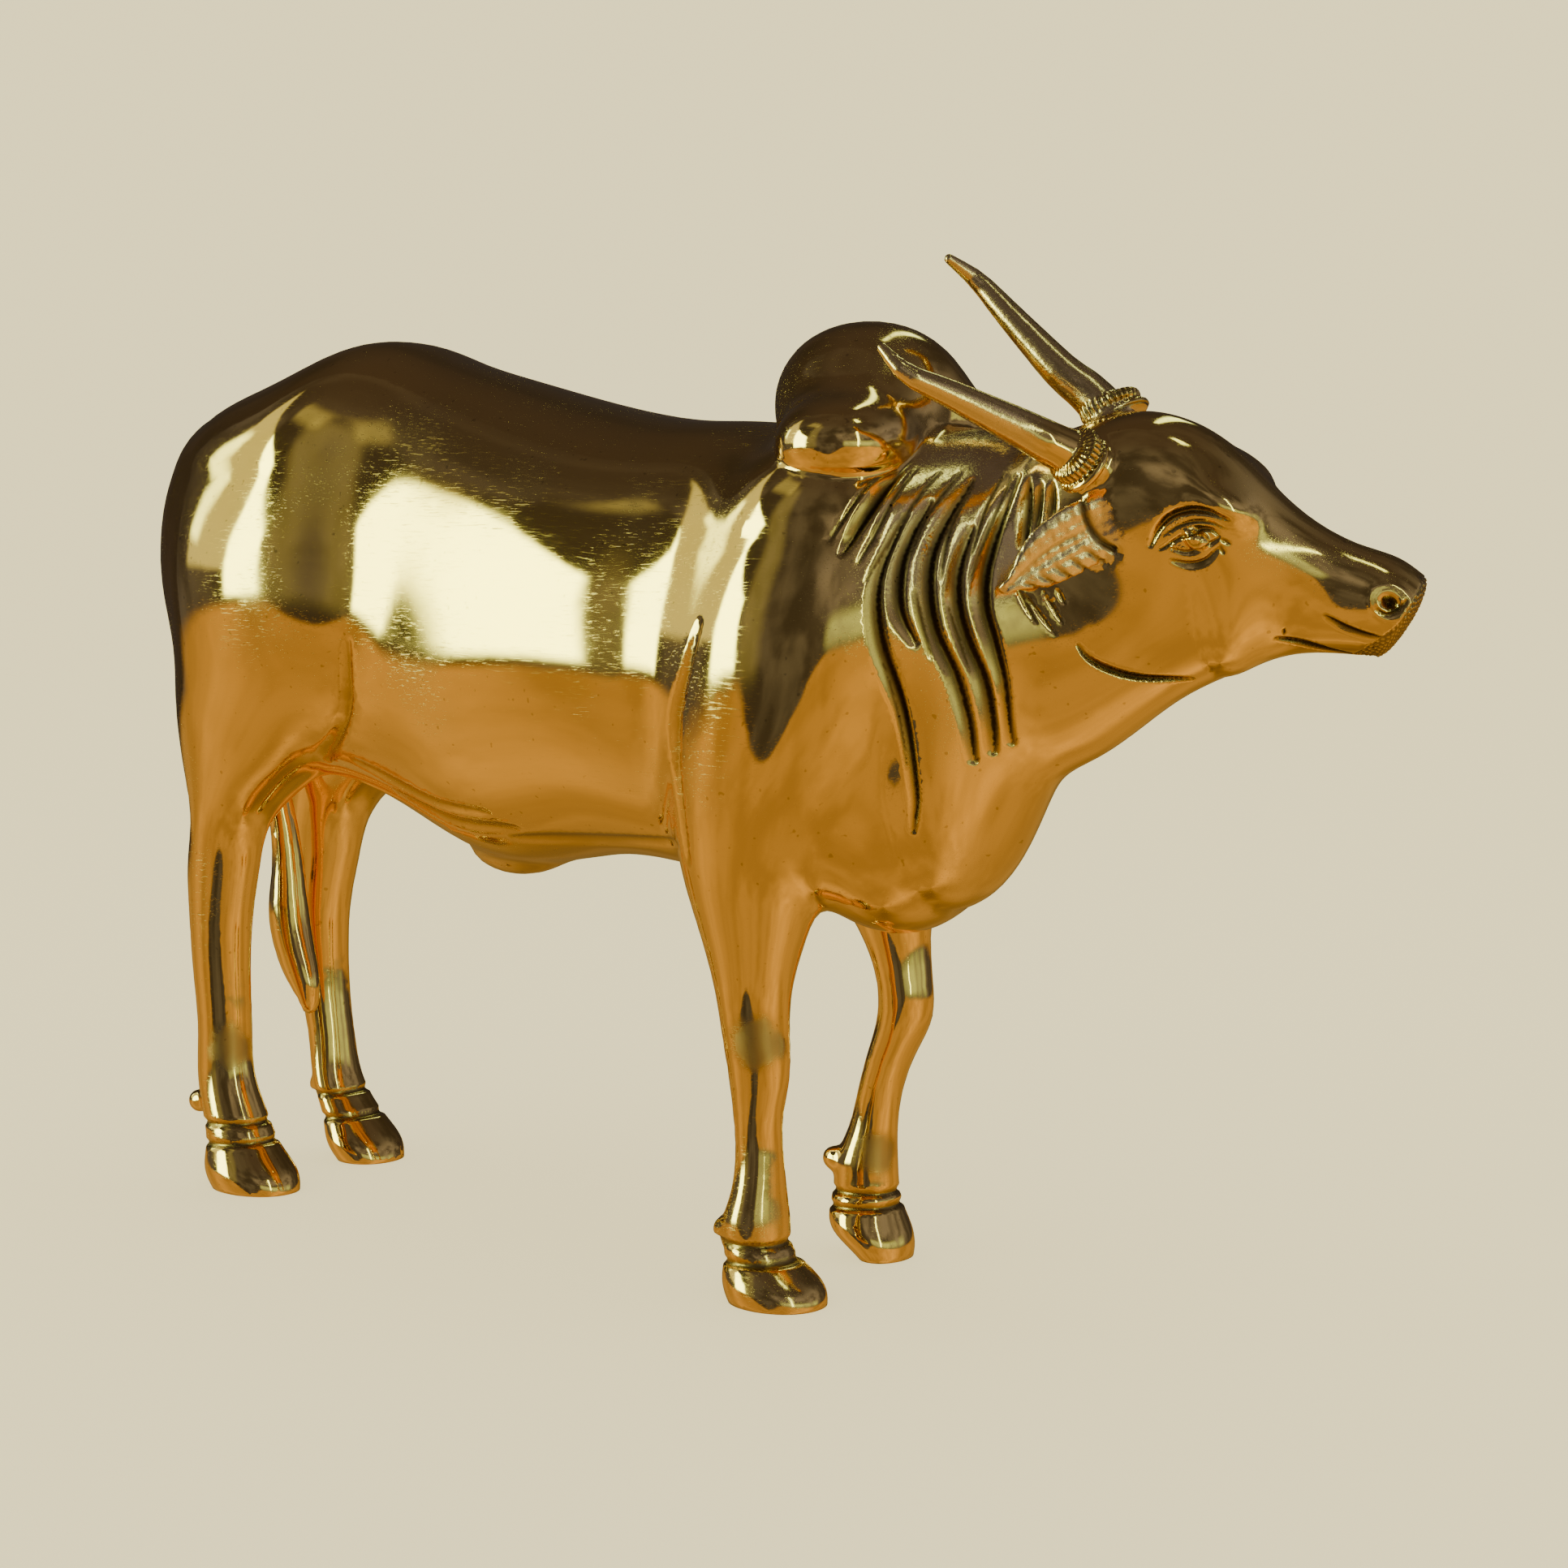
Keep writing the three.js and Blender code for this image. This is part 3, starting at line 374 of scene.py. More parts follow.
# Every cut of the chisel has a floor off its middle, so that one wall is steep and the other a bevel.
def chisel(knots, half_width, depth, lean=0.3, pieces=5, fade=0.04):
    path = passing(knots, pieces * (len(knots) - 1))
    low, high = path.min(0) - half_width, path.max(0) + half_width
    last = len(path) - 1

    def cut(across, up, margin=0.0):
        # How deep the cut is, how dark its painted shade is, and how far off the nearest part of it is.
        deep = np.zeros(len(across))
        dark = np.zeros(len(across))
        away = np.full(len(across), OUT_OF_REACH)
        near = (across > low[0] - margin) & (across < high[0] + margin)
        near &= (up > low[1] - margin) & (up < high[1] + margin)
        if not near.any():
            return deep, dark, away
        here = np.stack([across[near], up[near]], 1)
        best = np.full(len(here), OUT_OF_REACH)
        at = np.zeros(len(here))
        side = np.zeros(len(here))
        for i in range(last):
            run = path[i + 1] - path[i]
            offset = here - path[i]
            t = np.clip(offset @ run / (run @ run), 0, 1)
            gap = offset - t[:, None] * run
            size = np.hypot(*gap.T)
            nearer = size < best
            best[nearer], at[nearer] = size[nearer], (i + t[nearer]) / last
            turned = gap[nearer] @ (-run[1], run[0])
            side[nearer] = turned / (np.linalg.norm(run) * np.maximum(size[nearer], 1e-9))
        swell = np.sqrt(np.sin(np.pi * (fade + (1 - 2 * fade) * at)))
        reach = best / (half_width * (0.4 + 0.6 * swell))
        signed = np.sign(side) * reach - lean
        wall = signed * np.sign(lean + 1e-9) > 0
        reach = np.where(signed > 0, signed / (1 - lean), -signed / (1 + lean))
        share = np.clip(1.04 - np.sqrt(reach * reach + 0.02), 0, None)
        deep[near] = depth * swell * share
        # Painted shade: the groove is darkened most on its steep wall and less on its bevel.
        dark[near] = np.clip(swell * np.where(wall, 2.6 * share, 1.9 * share - 0.75), 0, 1)
        away[near] = best
        return deep, dark, away

    return cut


# Locks of the mane: deep crescents that fan out behind the ear and run down the neck, cut on both
# sides, with lighter cuts between them.
LOCKS = (
    ((135, 205), (133.7, 195.6), (130.4, 184.5)),
    ((139.4, 193), (137, 178), (137.6, 165), (139.6, 151), (140.6, 138), (140.6, 127), (139, 119.5)),
    ((142.4, 196), (140.4, 185), (140.2, 177), (141, 170), (143.4, 163.5)),
    ((147.6, 201), (145.9, 192), (144.8, 184), (145.2, 175), (146.6, 166), (149.6, 156), (151.2, 145),
     (151.4, 136)),
    ((150.5, 190), (149.6, 182), (149.8, 173.5), (151.6, 164), (154, 155), (154.6, 145), (154.2, 138)),
    ((158.3, 202), (155.1, 191), (153.9, 181), (154.2, 172), (156, 163), (157.2, 154), (156.9, 140)),
    ((161.2, 201), (160.1, 185.5)),
    ((164.1, 200), (162.3, 189)),
    ((167.1, 200), (166.2, 191)),
)
TICKS = (
    ((161.4, 174.6), (164.5, 170), (167.2, 165.7)), ((165.2, 175.2), (167, 171.6), (168.8, 168)),
    ((167.8, 176), (169.3, 172.6)),
)
WISPS = (
    ((132.6, 203), (130.2, 194), (127.4, 187)), ((137.4, 204), (136, 192), (133.4, 182)),
    ((141.4, 203), (138.6, 190), (135.2, 178)), ((145, 203), (142.6, 192), (141.6, 183)),
    ((148.4, 200), (147, 190), (147.2, 178)), ((153.8, 203), (152, 194), (151.4, 184)),
    ((156.4, 202), (153.4, 190), (151.8, 178)), ((160, 176), (163.6, 168)), ((143.2, 176), (146.2, 160)),
    ((148.8, 172), (152.2, 157)), ((138, 160), (139.2, 146), (139.8, 134)),
)
# Folds of the hide, with their half widths and depths: flank, back of the shoulder, belly and brisket
FOLDS = (
    (((-31, 160), (-36, 143), (-45, 134), (-57, 127)), 2.6, 2.4),
    (((95, 168), (89, 153), (85.5, 144), (84.4, 134), (85, 122), (84.5, 110)), 2.4, 1.8),
    (((-42, 127), (-27, 122), (-10, 117.5), (9, 116)), 2, 1),
    (((-30, 119), (-5, 112.5), (16, 112)), 2, 1),
    (((12, 109), (33, 110), (80, 113)), 2, 0.8),
)
mane_cuts = [chisel(knots, 1.75, 1.7, 0.35) for knots in LOCKS]
thin_cuts = [chisel(knots, 0.7, 0.4) for knots in WISPS] + [chisel(knots, 0.6, 0.6) for knots in TICKS]
fold_cuts = [chisel(knots, width, depth) for knots, width, depth in FOLDS]

# Lines of the face, in the side view of the head: brow, lids, fold below the eye, mouth and jaw
face_cuts = [
    chisel(((24.9, -6.9), (24.5, -3.1), (25.4, 0.9), (28.2, 4.1), (32.4, 6), (37.4, 6.6)), 1.2, 1.5, -0.45),
    chisel(((26.4, -3.4), (28.2, 0), (31, 2.6), (34.8, 4.1), (37.8, 4.2)), 0.6, 0.5, -0.2),
    chisel(((27.4, -6.6), (29.5, -2.7), (31.9, 1.1), (35.2, 2.7), (37.6, 2.2)), 0.75, 0.85, -0.3),
    chisel(((29.6, -5.4), (33.4, -4.2), (36.3, -0.8), (37.8, 1.8)), 0.75, 0.8, 0.3),
    chisel(((31.2, -7.8), (35.2, -6.6), (37.9, -4), (38.7, -0.6)), 1.1, 1.0, 0.4),
    chisel(((38.2, 1.6), (40.4, 1.4)), 0.6, 0.4, 0), chisel(((38.6, 0.2), (40.4, -1)), 0.6, 0.35, 0),
    chisel(((61, -14.6), (65.6, -13.6), (70, -12.9), (76, -11.8), (83, -9.6)), 1.2, 1.4, -0.2),
    chisel(((67.8, -4.1), (72, -4.2), (77, -3.5), (80.6, -2.4)), 1.3, 0.8, 0.1),
    chisel(((76.2, 3.5), (79, 3.4), (80.8, 5.4), (81.2, 7.8)), 0.8, 0.75, 0.2),
    chisel(((61.2, -11.6), (61.6, -13)), 0.5, 0.5, 0),
    chisel(((22.6, -35), (26, -36.4), (31, -36.8), (38, -36), (44, -33.9), (49, -32)), 1.15, 1.3, -0.5),
]
# Share of the painted shade kept in the lines round the eye.
EYE_SHADE = 0.62
PUPIL = 33.0, 0.1
IRIS_RADIUS = 1.45
NOSTRIL_MIDDLE, NOSTRIL_HALVES = (78.3, 8.8, 6.0), (3.4, 3.2, 2.6)
NOSTRIL_DEPTH = 2.6
NOSTRIL_RIM = 1.45
DOT_PITCH = 1.35
DOT_RADIUS = 0.66
DOT_DEPTH = 0.36
HOOF_RINGS = (
    (-101, -HIND_TRACK, 19, 0.05), (-100, -HIND_TRACK, 13.4, 0.08), (-109, HIND_TRACK, 19.4, 0.1),
    (-106, HIND_TRACK, 12.6, 0.1), (93, -FORE_TRACK, 14.8, 0), (94.5, -FORE_TRACK, 10.4, 0.05),
    (89, FORE_TRACK, 17.4, 0.02), (89, FORE_TRACK, 13.6, 0.05),
)
RING_REACH, RING_HALF_WIDTH, RING_DEPTH = 19, 1.5, 0.9
LONG_COAT_FROM = 100
HEAD_FROM = 110
FETLOCK_HEIGHT = 34


def muzzle_band(head):
    # The strip round the end of the nose that is punched with dots: 1 inside it.
    along, side, up = head.T
    start = 82.2 - 0.33 * np.maximum(0, 3 - up)
    inside = smooth(along, start, start + 0.5) * (1 - smooth(up, 10.6, 11.4))
    return inside * smooth(up, -11.4, -10.6)


def dots(head):
    # Beads in staggered rows, counted round the end of the nose: 1 on top of a bead, 0 between them.
    row_gap = DOT_PITCH * math.sqrt(3) / 2
    round_nose = np.abs(head[:, 1]) - head[:, 0]
    row = np.round(head[:, 2] / row_gap)
    shift = DOT_PITCH / 2 * (row % 2)
    column = np.round((round_nose - shift) / DOT_PITCH)
    off_side = round_nose - shift - column * DOT_PITCH - 0.14 * np.sin(12.9 * row + 7.7 * column)
    off_up = head[:, 2] - row * row_gap - 0.14 * np.sin(9.1 * column + 5.3 * row)
    return bell(np.hypot(off_side, off_up) / DOT_RADIUS)


def off_hump(points):
    # How far a place is off the ball of the hump and the lobes below it.
    ball = oval(off(points, HUMP_MIDDLE), HUMP_HALVES, 2.1)
    folded = np.stack([points[:, 0], np.abs(points[:, 1]), points[:, 2]], 1)
    return np.minimum(ball, oval(off(folded, LOBE_MIDDLE), LOBE_HALVES, 2.2))


def carving(points):
    # How far in the skin goes at each point, how dark the painted shade in the cuts is and how hammered it
    # is.
    x, y, z = points.T
    deep = np.zeros(len(points))
    dark = np.zeros(len(points))
    beaten = smooth(z, 168, 178) * smooth(x, 132, 140) * (1 - smooth(x, 168, 174)) * 0.6

    # The hair stops short of the hump.
    body = z > LONG_COAT_FROM
    on_neck = smooth(off_hump(points[body]), 1, 4)
    # Each cut paints shade into its groove: full in the mane locks, less in the wisps, least in the hide
    # folds.
    for cuts, shade_weight, share in ((mane_cuts, 1, on_neck), (thin_cuts, 0.8, on_neck), (fold_cuts, 0.35, 1)):
        for cut in cuts:
            found, shade, away = cut(x[body], z[body])
            deep[body] = np.maximum(deep[body], found * share)
            dark[body] = np.maximum(dark[body], shade_weight * shade * share)
    low = z < FETLOCK_HEIGHT
    for cx, cy, cz, rise in HOOF_RINGS:
        at_leg = low & (np.hypot(x - cx, y - cy) < RING_REACH)
        line = RING_DEPTH * bell((z - cz - rise * (x - cx)) / RING_HALF_WIDTH) ** 0.8 * at_leg
        deep = np.maximum(deep, line)
        # Painted shade along the grooves round the hooves.
        dark = np.maximum(dark, line / 1.5)
    head_part = (x > HEAD_FROM) & (z > HEAD_FROM)
    head = into_head(points[head_part])
    along, side, up = head.T
    out = np.abs(side)
    half = np.stack([along, out, up], 1)
    found = np.zeros(len(head))
    shade = np.zeros(len(head))
    rough = beaten[head_part] * (along < 4)
    on_face = (along > 16) & (out > 5)
    for cut in face_cuts:
        line, shade_weight, away = cut(along, up)
        found = np.maximum(found, line * on_face)
        shade_weight = shade_weight * np.where((along < 45) & (up > -9), EYE_SHADE, 1)
        shade = np.maximum(shade, shade_weight * on_face)
    pit = np.sqrt(sum(((half[:, k] - NOSTRIL_MIDDLE[k]) / NOSTRIL_HALVES[k]) ** 2 for k in range(3)))
    found = np.maximum(found, NOSTRIL_DEPTH * bell(pit))
    found = found - 0.22 * bell((pit - NOSTRIL_RIM) / 0.4)
    # Painted shade in the nostril pit.
    shade = np.maximum(shade, bell(pit / 0.9))
    gaps = (1 - dots(head)) * muzzle_band(head)
    found = found + DOT_DEPTH * gaps
    # Painted shade in the sunk gaps between the muzzle beads.
    shade = np.maximum(shade, 0.6 * gaps)
    rough = np.maximum(rough, 0.5 * muzzle_band(head))
    iris = np.hypot(along - PUPIL[0], up - PUPIL[1])
    at_eye = (out > 12) & (iris < 3)
    ring = 0.16 * bell((iris - IRIS_RADIUS) / 0.45) - 0.25 * bell(iris / 0.9)
    found = found + np.where(at_eye, ring, 0)
    # Painted shade in the groove round the iris.
    shade = np.maximum(shade, np.where(at_eye, 0.45 * bell((iris - IRIS_RADIUS) / 0.4), 0))
    near_horns = along < 24
    for hand in (-1, 1):
        part = near_horns & (side * hand > 0)
        away, angle, lift = collar(head[part], hand, 0)
        on_ring = 1 - smooth(np.abs(away), 0.5, 1.1)
        valley = (0.5 + 0.5 * np.cos(COLLAR_RIBS * angle)) ** 1.6 * bell(lift / 2.3) ** 0.3
        found[part] += RIB_DEPTH * valley * on_ring
        # Painted shade in the valleys between the collar ribs.
        shade[part] = np.maximum(shade[part], 0.9 * valley ** 1.5 * on_ring)
        away, angle, lift = collar(head[part], hand, 1)
        on_ring = 1 - smooth(np.abs(away), 0.5, 1.1)
        edge = bell((lift + 0.7) / 0.5) * on_ring
        found[part] += 0.35 * edge
        # Painted shade along the groove at the edge of the plain band.
        shade[part] = np.maximum(shade[part], 0.6 * edge)
        away, share, across, height = ear(head[part], hand)
        on_leaf = (1 - smooth(np.abs(away), 0.6, 1.4)) * (share > 0.01)
        outer = smooth(height, -0.8, 0.2) * on_leaf
        vein = bell((across + 0.12 - 0.08 * np.sin(7 * share)) / 0.13) * smooth(share, 0.25, 0.4)
        shoulder = bell((np.abs(across) - 0.26) / 0.14) * smooth(share, 0.2, 0.3)
        slant = (share + 0.1 * (across - 0.6)) * EAR_NICKS / 0.82 - 1.4
        nick = bell((slant - np.round(slant)) / 0.24) * smooth(across, 0.25, 0.7)
        nick *= (slant > -0.4) & (slant < EAR_NICKS - 0.6)
        crack = bell((share - 0.15 - 0.07 * (1 - across**2)) / 0.05)
        coarse = np.sin(23 * share - 9 * across) * np.sin(11 * across + 31 * share)
        fine = np.sin(61 * share + 17 * across) * np.sin(29 * across - 37 * share)
        crinkle = 0.5 + 0.3 * coarse + 0.2 * fine
        cut = (0.25 * vein - 0.16 * shoulder + 0.4 * crinkle) * outer
        cut = cut + (0.85 * nick + 0.8 * crack) * np.maximum(outer, 0.7 * on_leaf)
        found[part] += cut
        rough[part] = np.maximum(rough[part], on_leaf)
        # Painted shade in the ear's nicks, crack and vein.
        shade_weight = np.maximum(np.maximum(0.6 * nick, 0.9 * crack) * on_leaf, 0.25 * vein * outer)
        shade[part] = np.maximum(shade[part], shade_weight)
    far_limb, share = horn(head, 1)
    rough = np.maximum(rough, 0.7 * (1 - smooth(np.abs(far_limb), 0.8, 1.6)))
    beaten[head_part] = rough
    deep[head_part] = np.maximum(deep[head_part], 0) + found
    dark[head_part] = np.maximum(dark[head_part], shade)
    return deep, dark, beaten


BODY_GRAIN, BELOW_BELLY_GRAIN, HOOF_GRAIN, CLAW_GRAIN, RING_GRAIN = 3.5, 2.4, 1.3, 0.9, 0.75
HUMP_GRAIN, MANE_GRAIN, WISP_GRAIN, FOLD_GRAIN = 1.1, 0.56, 0.54, 1.15
HEAD_GRAIN, FACE_GRAIN, EYE_GRAIN, NOSTRIL_GRAIN, MUZZLE_GRAIN = 1.7, 0.4, 0.3, 0.55, 0.32
EAR_GRAIN, COLLAR_GRAIN = 0.64, 0.385


def grain_size(points):
    # The wanted length of an edge: short where the form turns fast or is carved.
    x, y, z = points.T
    size = np.full(len(points), BODY_GRAIN)
    size = np.where(z < LONG_COAT_FROM, BELOW_BELLY_GRAIN, size)
    size = np.where(z < FETLOCK_HEIGHT + 2, HOOF_GRAIN, size)
    for middle in DEW_CLAWS:
        close = np.linalg.norm(points - middle, axis=1) < 6
        size = np.where(close, CLAW_GRAIN, size)
    for cx, cy, cz, rise in HOOF_RINGS:
        close = (np.hypot(x - cx, y - cy) < RING_REACH) & (np.abs(z - cz - rise * (x - cx)) < 1.8)
        size = np.where(close, RING_GRAIN, size)
    size = np.where((np.abs(off_hump(points)) < 2.5) & (z < 224), HUMP_GRAIN, size)
    coat = z > LONG_COAT_FROM
    for cuts, reach, grain in (
        (mane_cuts, 1.9, MANE_GRAIN), (thin_cuts, 0.9, WISP_GRAIN), (fold_cuts, 2.6, FOLD_GRAIN)
    ):
        for cut in cuts:
            away = cut(x, z, reach)[2]
            size = np.where((away < reach) & coat, np.minimum(size, grain), size)
    head_part = (x > HEAD_FROM) & (z > HEAD_FROM)
    head = into_head(points[head_part])
    along, side, up = head.T
    out = np.abs(side)
    here = size[head_part]
    here = np.where(along > -6, np.minimum(here, HEAD_GRAIN), here)
    for cut in face_cuts:
        away = cut(along, up, 1.0)[2]
        close = (away < 1.5) & (out > 5) & (along > 16)
        here = np.where(close, np.minimum(here, FACE_GRAIN), here)
    at_eye = (np.hypot(along - PUPIL[0], up - PUPIL[1]) < 4) & (out > 11)
    here = np.where(at_eye, EYE_GRAIN, here)
    nose = np.hypot(along - NOSTRIL_MIDDLE[0], up - NOSTRIL_MIDDLE[2]) < 5.6
    here = np.where(nose & (out > 3), NOSTRIL_GRAIN, here)
    here = np.where(muzzle_band(head) > 0.01, MUZZLE_GRAIN, here)
    for hand in (-1, 1):
        part = (side * hand > 0) & (along < 24)
        leaf = np.abs(ear(head[part], hand)[0]) < 0.8
        rings = [np.abs(collar(head[part], hand, ring)[0]) < 0.7 for ring in (0, 1)]
        limb, share = horn(head[part], hand)
        spot = here[part]
        spot = np.where((np.abs(limb) < 1) & (share > 0.16), np.minimum(spot, 1.5 - 0.8 * share), spot)
        spot = np.where(leaf, EAR_GRAIN, spot)
        spot = np.where(rings[0] | rings[1], COLLAR_GRAIN, spot)
        here[part] = spot
    size[head_part] = here
    return size


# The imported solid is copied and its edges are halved, over and over, until they are short enough.
# After each pass the corners are evened out and laid on the skin of the wax.
def corners(mesh):
    flat = np.empty(len(mesh.vertices) * 3, np.float32)
    mesh.vertices.foreach_get("co", flat)
    return flat.reshape(-1, 3).astype(float) / MM + WAX_ORIGIN


def set_corners(mesh, points):
    mesh.vertices.foreach_set("co", ((points - WAX_ORIGIN) * MM).astype(np.float32).ravel())
    mesh.update()


def edge_ends(mesh):
    ends = np.empty(len(mesh.edges) * 2, np.int32)
    mesh.edges.foreach_get("vertices", ends)
    return ends.reshape(-1, 2)


def slope(points, distance, nudge=0.02):
    steps = np.eye(3) * nudge
    return np.stack([(wax(points + step) - distance) / nudge for step in steps], 1)


def lay_on_wax(points, ends, rounds):
    sole = points[:, 2] < 1e-3
    rim = np.zeros(len(points), bool)
    mixed = ends[sole[ends[:, 0]] != sole[ends[:, 1]]]
    rim[mixed.ravel()] = True
    rim &= sole
    moving = ~sole | rim
    for _ in range(rounds):
        here = points[moving]
        distance = wax(here)
        lean = slope(here, distance)
        lean[rim[moving], 2] = 0
        steep = np.maximum((lean * lean).sum(1), 0.2)
        step = lean * np.clip(distance / steep, -1.5, 1.5)[:, None]
        points[moving] = here - step
    points[:, 2] = np.maximum(points[:, 2], 0)
    points[~sole, 2] = np.maximum(points[~sole, 2], 0.002)
    lean = np.zeros_like(points)
    lean[moving] = slope(points[moving], wax(points[moving]))
    lean[sole] = 0, 0, -1
    return points, lean / np.maximum(np.linalg.norm(lean, axis=1), 1e-9)[:, None]


def evened(points, ends, normals, share):
    sole = points[:, 2] < 1e-3
    count = np.bincount(ends.ravel(), minlength=len(points))
    pull = np.zeros_like(points)
    for k in range(3):
        pull[:, k] = np.bincount(ends[:, 0], points[ends[:, 1], k], len(points))
        pull[:, k] += np.bincount(ends[:, 1], points[ends[:, 0], k], len(points))
    pull = pull / np.maximum(count, 1)[:, None] - points
    pull -= normals * (pull * normals).sum(1)[:, None]
    pull[sole] = 0
    return points + share * pull


bull = bpy.data.objects.new("standing_bull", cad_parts["bull"].data.copy())
bpy.context.scene.collection.objects.link(bull)
bull.data.materials.clear()
bpy.ops.object.select_all(action="DESELECT")
bull.select_set(True)
bpy.context.view_layer.objects.active = bull
bpy.ops.object.mode_set(mode="EDIT")
bpy.ops.mesh.select_mode(type="EDGE")
bpy.ops.mesh.select_all(action="SELECT")
bpy.ops.mesh.remove_doubles(threshold=1e-6)
bpy.ops.object.mode_set(mode="OBJECT")
PASSES = 9
FEW_EDGES = 100
for number in range(PASSES):
    points, ends = corners(bull.data), edge_ends(bull.data)
    middle = points[ends].mean(1)
    length = np.linalg.norm(points[ends[:, 0]] - points[ends[:, 1]], axis=1)
    too_long = length > 1.4 * grain_size(middle)
    if too_long.sum() < FEW_EDGES:
        break
    for kind in (bull.data.vertices, bull.data.edges, bull.data.polygons):
        kind.foreach_set("select", np.zeros(len(kind), bool))
    bull.data.edges.foreach_set("select", too_long)
    bpy.ops.object.mode_set(mode="EDIT")
    bpy.ops.mesh.select_mode(type="EDGE")
    bpy.ops.mesh.subdivide(number_cuts=1, ngon=False)
    bpy.ops.mesh.select_all(action="SELECT")
    bpy.ops.mesh.quads_convert_to_tris(quad_method="BEAUTY", ngon_method="BEAUTY")
    bpy.ops.mesh.beautify_fill(angle_limit=math.radians(40))
    bpy.ops.object.mode_set(mode="OBJECT")
    points, ends = corners(bull.data), edge_ends(bull.data)
    points, normals = lay_on_wax(points, ends, 2)
    points = evened(points, ends, normals, 0.5)
    points, normals = lay_on_wax(points, ends, 1)
    set_corners(bull.data, points)

# Last, the chisel: each corner goes in along its own normal by the depth of the cuts there.
for number in range(2):
    points = evened(points, ends, normals, 0.4)
    points, normals = lay_on_wax(points, ends, 2)
deep, dark, beaten = carving(points)
carved = points - normals * deep[:, None]
carved[points[:, 2] < 1e-3] = points[points[:, 2] < 1e-3]
low, high = (np.array(corner) / MM + WAX_ORIGIN for corner in cad_box)
reach = np.maximum(np.abs(carved.min(0) - WAX_ORIGIN), np.abs(carved.max(0) - WAX_ORIGIN))
carved = WAX_ORIGIN + (carved - WAX_ORIGIN) * np.minimum(1, (high - WAX_ORIGIN - 1e-3) / reach)
set_corners(bull.data, carved)
# The painted shade of the cuts is stored on the corners, next to the hammer marks.
for name, values in (("dark", dark), ("beaten", beaten)):
    layer = bull.data.attributes.new(name, "FLOAT", "POINT")
    layer.data.foreach_set("value", values.astype(np.float32))
bpy.ops.object.shade_smooth()


# The brass is polished to a mirror by hand, with fine scratches and a brushed haze. Shade is painted dark
# into the cuts, and the ears, the left horn and the muzzle keep their hammer marks.
class Socket:
    def __init__(self, finish, link):
        self.finish = finish
        self.link = link

    def maths(self, operation, *others, swap=False):
        values = (*others, self) if swap else (self, *others)
        return self.finish.node("ShaderNodeMath", {"operation": operation}, dict(enumerate(values)))

    def __add__(self, other):
        return self.maths("ADD", other)

    def __sub__(self, other):
        return self.maths("SUBTRACT", other)

    def __mul__(self, other):
        return self.maths("MULTIPLY", other)

    def __truediv__(self, other):
        return self.maths("DIVIDE", other)

    def __pow__(self, other):
        return self.maths("POWER", other)

    def __rsub__(self, other):
        return self.maths("SUBTRACT", other, swap=True)

    __radd__ = __add__
    __rmul__ = __mul__

    def ramp(self, low, high):
        settings = {"interpolation_type": "SMOOTHSTEP"}
        sockets = {"Value": self, "From Min": low, "From Max": high}
        return self.finish.node("ShaderNodeMapRange", settings, sockets)


class Finish:
    def __init__(self, name):
        self.material = bpy.data.materials.new(name)
        self.material.use_nodes = True
        self.tree = self.material.node_tree
        self.tree.nodes.clear()

    def node(self, kind, settings, sockets, output=0):
        made = self.tree.nodes.new(kind)
        for key, value in settings.items():
            if key == "stops":
                for stop, (place, colour) in zip(made.color_ramp.elements, value):
                    stop.position, stop.color = place, colour
            else:
                setattr(made, key, value)
        for key, value in sockets.items():
            if isinstance(value, Socket):
                self.tree.links.new(value.link, made.inputs[key])
            else:
                made.inputs[key].default_value = value
        return Socket(self, made.outputs[output]) if len(made.outputs) else None

    def mix(self, share, first, second):
        return self.node("ShaderNodeMix", {"data_type": "RGBA"}, {0: share, 6: first, 7: second}, 2)


brass = Finish("polished_brass")
place = brass.node("ShaderNodeTexCoord", {}, {}, 3)
cut_shade = brass.node("ShaderNodeAttribute", {"attribute_name": "dark"}, {}, 2)
beaten = brass.node("ShaderNodeAttribute", {"attribute_name": "beaten"}, {}, 2)


def noise(scale, detail=2.0, rough=0.5, at=place):
    sockets = {"Vector": at, "Scale": scale, "Detail": detail, "Roughness": rough}
    return brass.node("ShaderNodeTexNoise", {}, sockets)


def scratches(turn, scale, low, high):
    # Thin streaks: noise drawn out along one direction and cut off low.
    spun = brass.node("ShaderNodeMapping", {}, {"Vector": place, "Rotation": turn, "Scale": (0.05, 1, 1)})
    return noise(scale, 3.0, 0.6, spun).ramp(low, high)


KNEE_SMUDGE = 0.0433, -0.0325, 0.0653
CANNON_SMUDGE = -0.154, -0.0279, 0.0411
FETLOCK_SMUDGE = 0.0409, 0.0218, 0.0284


def near(middle, size):
    # 1 round a place on the bull and 0 beyond the given distance from it, with a ragged edge.
    off = brass.node("ShaderNodeVectorMath", {"operation": "DISTANCE"}, {0: place, 1: middle}, 1)
    ragged = off / size + (noise(150, 3) - 0.5) * 0.7
    return 1 - ragged.ramp(0.35, 1)


haze = noise(26, 4, 0.6).ramp(0.46, 0.74)
cloud = noise(9, 3, 0.6).ramp(0.4, 0.7)
streaks = scratches((0.3, 0.2, 0.5), 2300, 0.6, 0.7) + scratches((1.1, -0.5, 1.3), 2700, 0.6, 0.72)
streaks = streaks + scratches((-0.6, 0.9, 2.2), 2500, 0.62, 0.72)
streaks = streaks + scratches((0.9, 1.4, 0.2), 1800, 0.64, 0.74)
streaks = streaks * (0.35 + haze * 0.9 + cloud * 0.4)
pits = noise(520, 1, 0.5).ramp(0.72, 0.78)
smudge = near(KNEE_SMUDGE, 0.0095) + near(CANNON_SMUDGE, 0.009) + near(FETLOCK_SMUDGE, 0.008)
BRIGHT_BRASS, DEEP_BRASS = (0.93, 0.63, 0.2, 1), (0.86, 0.57, 0.19, 1)
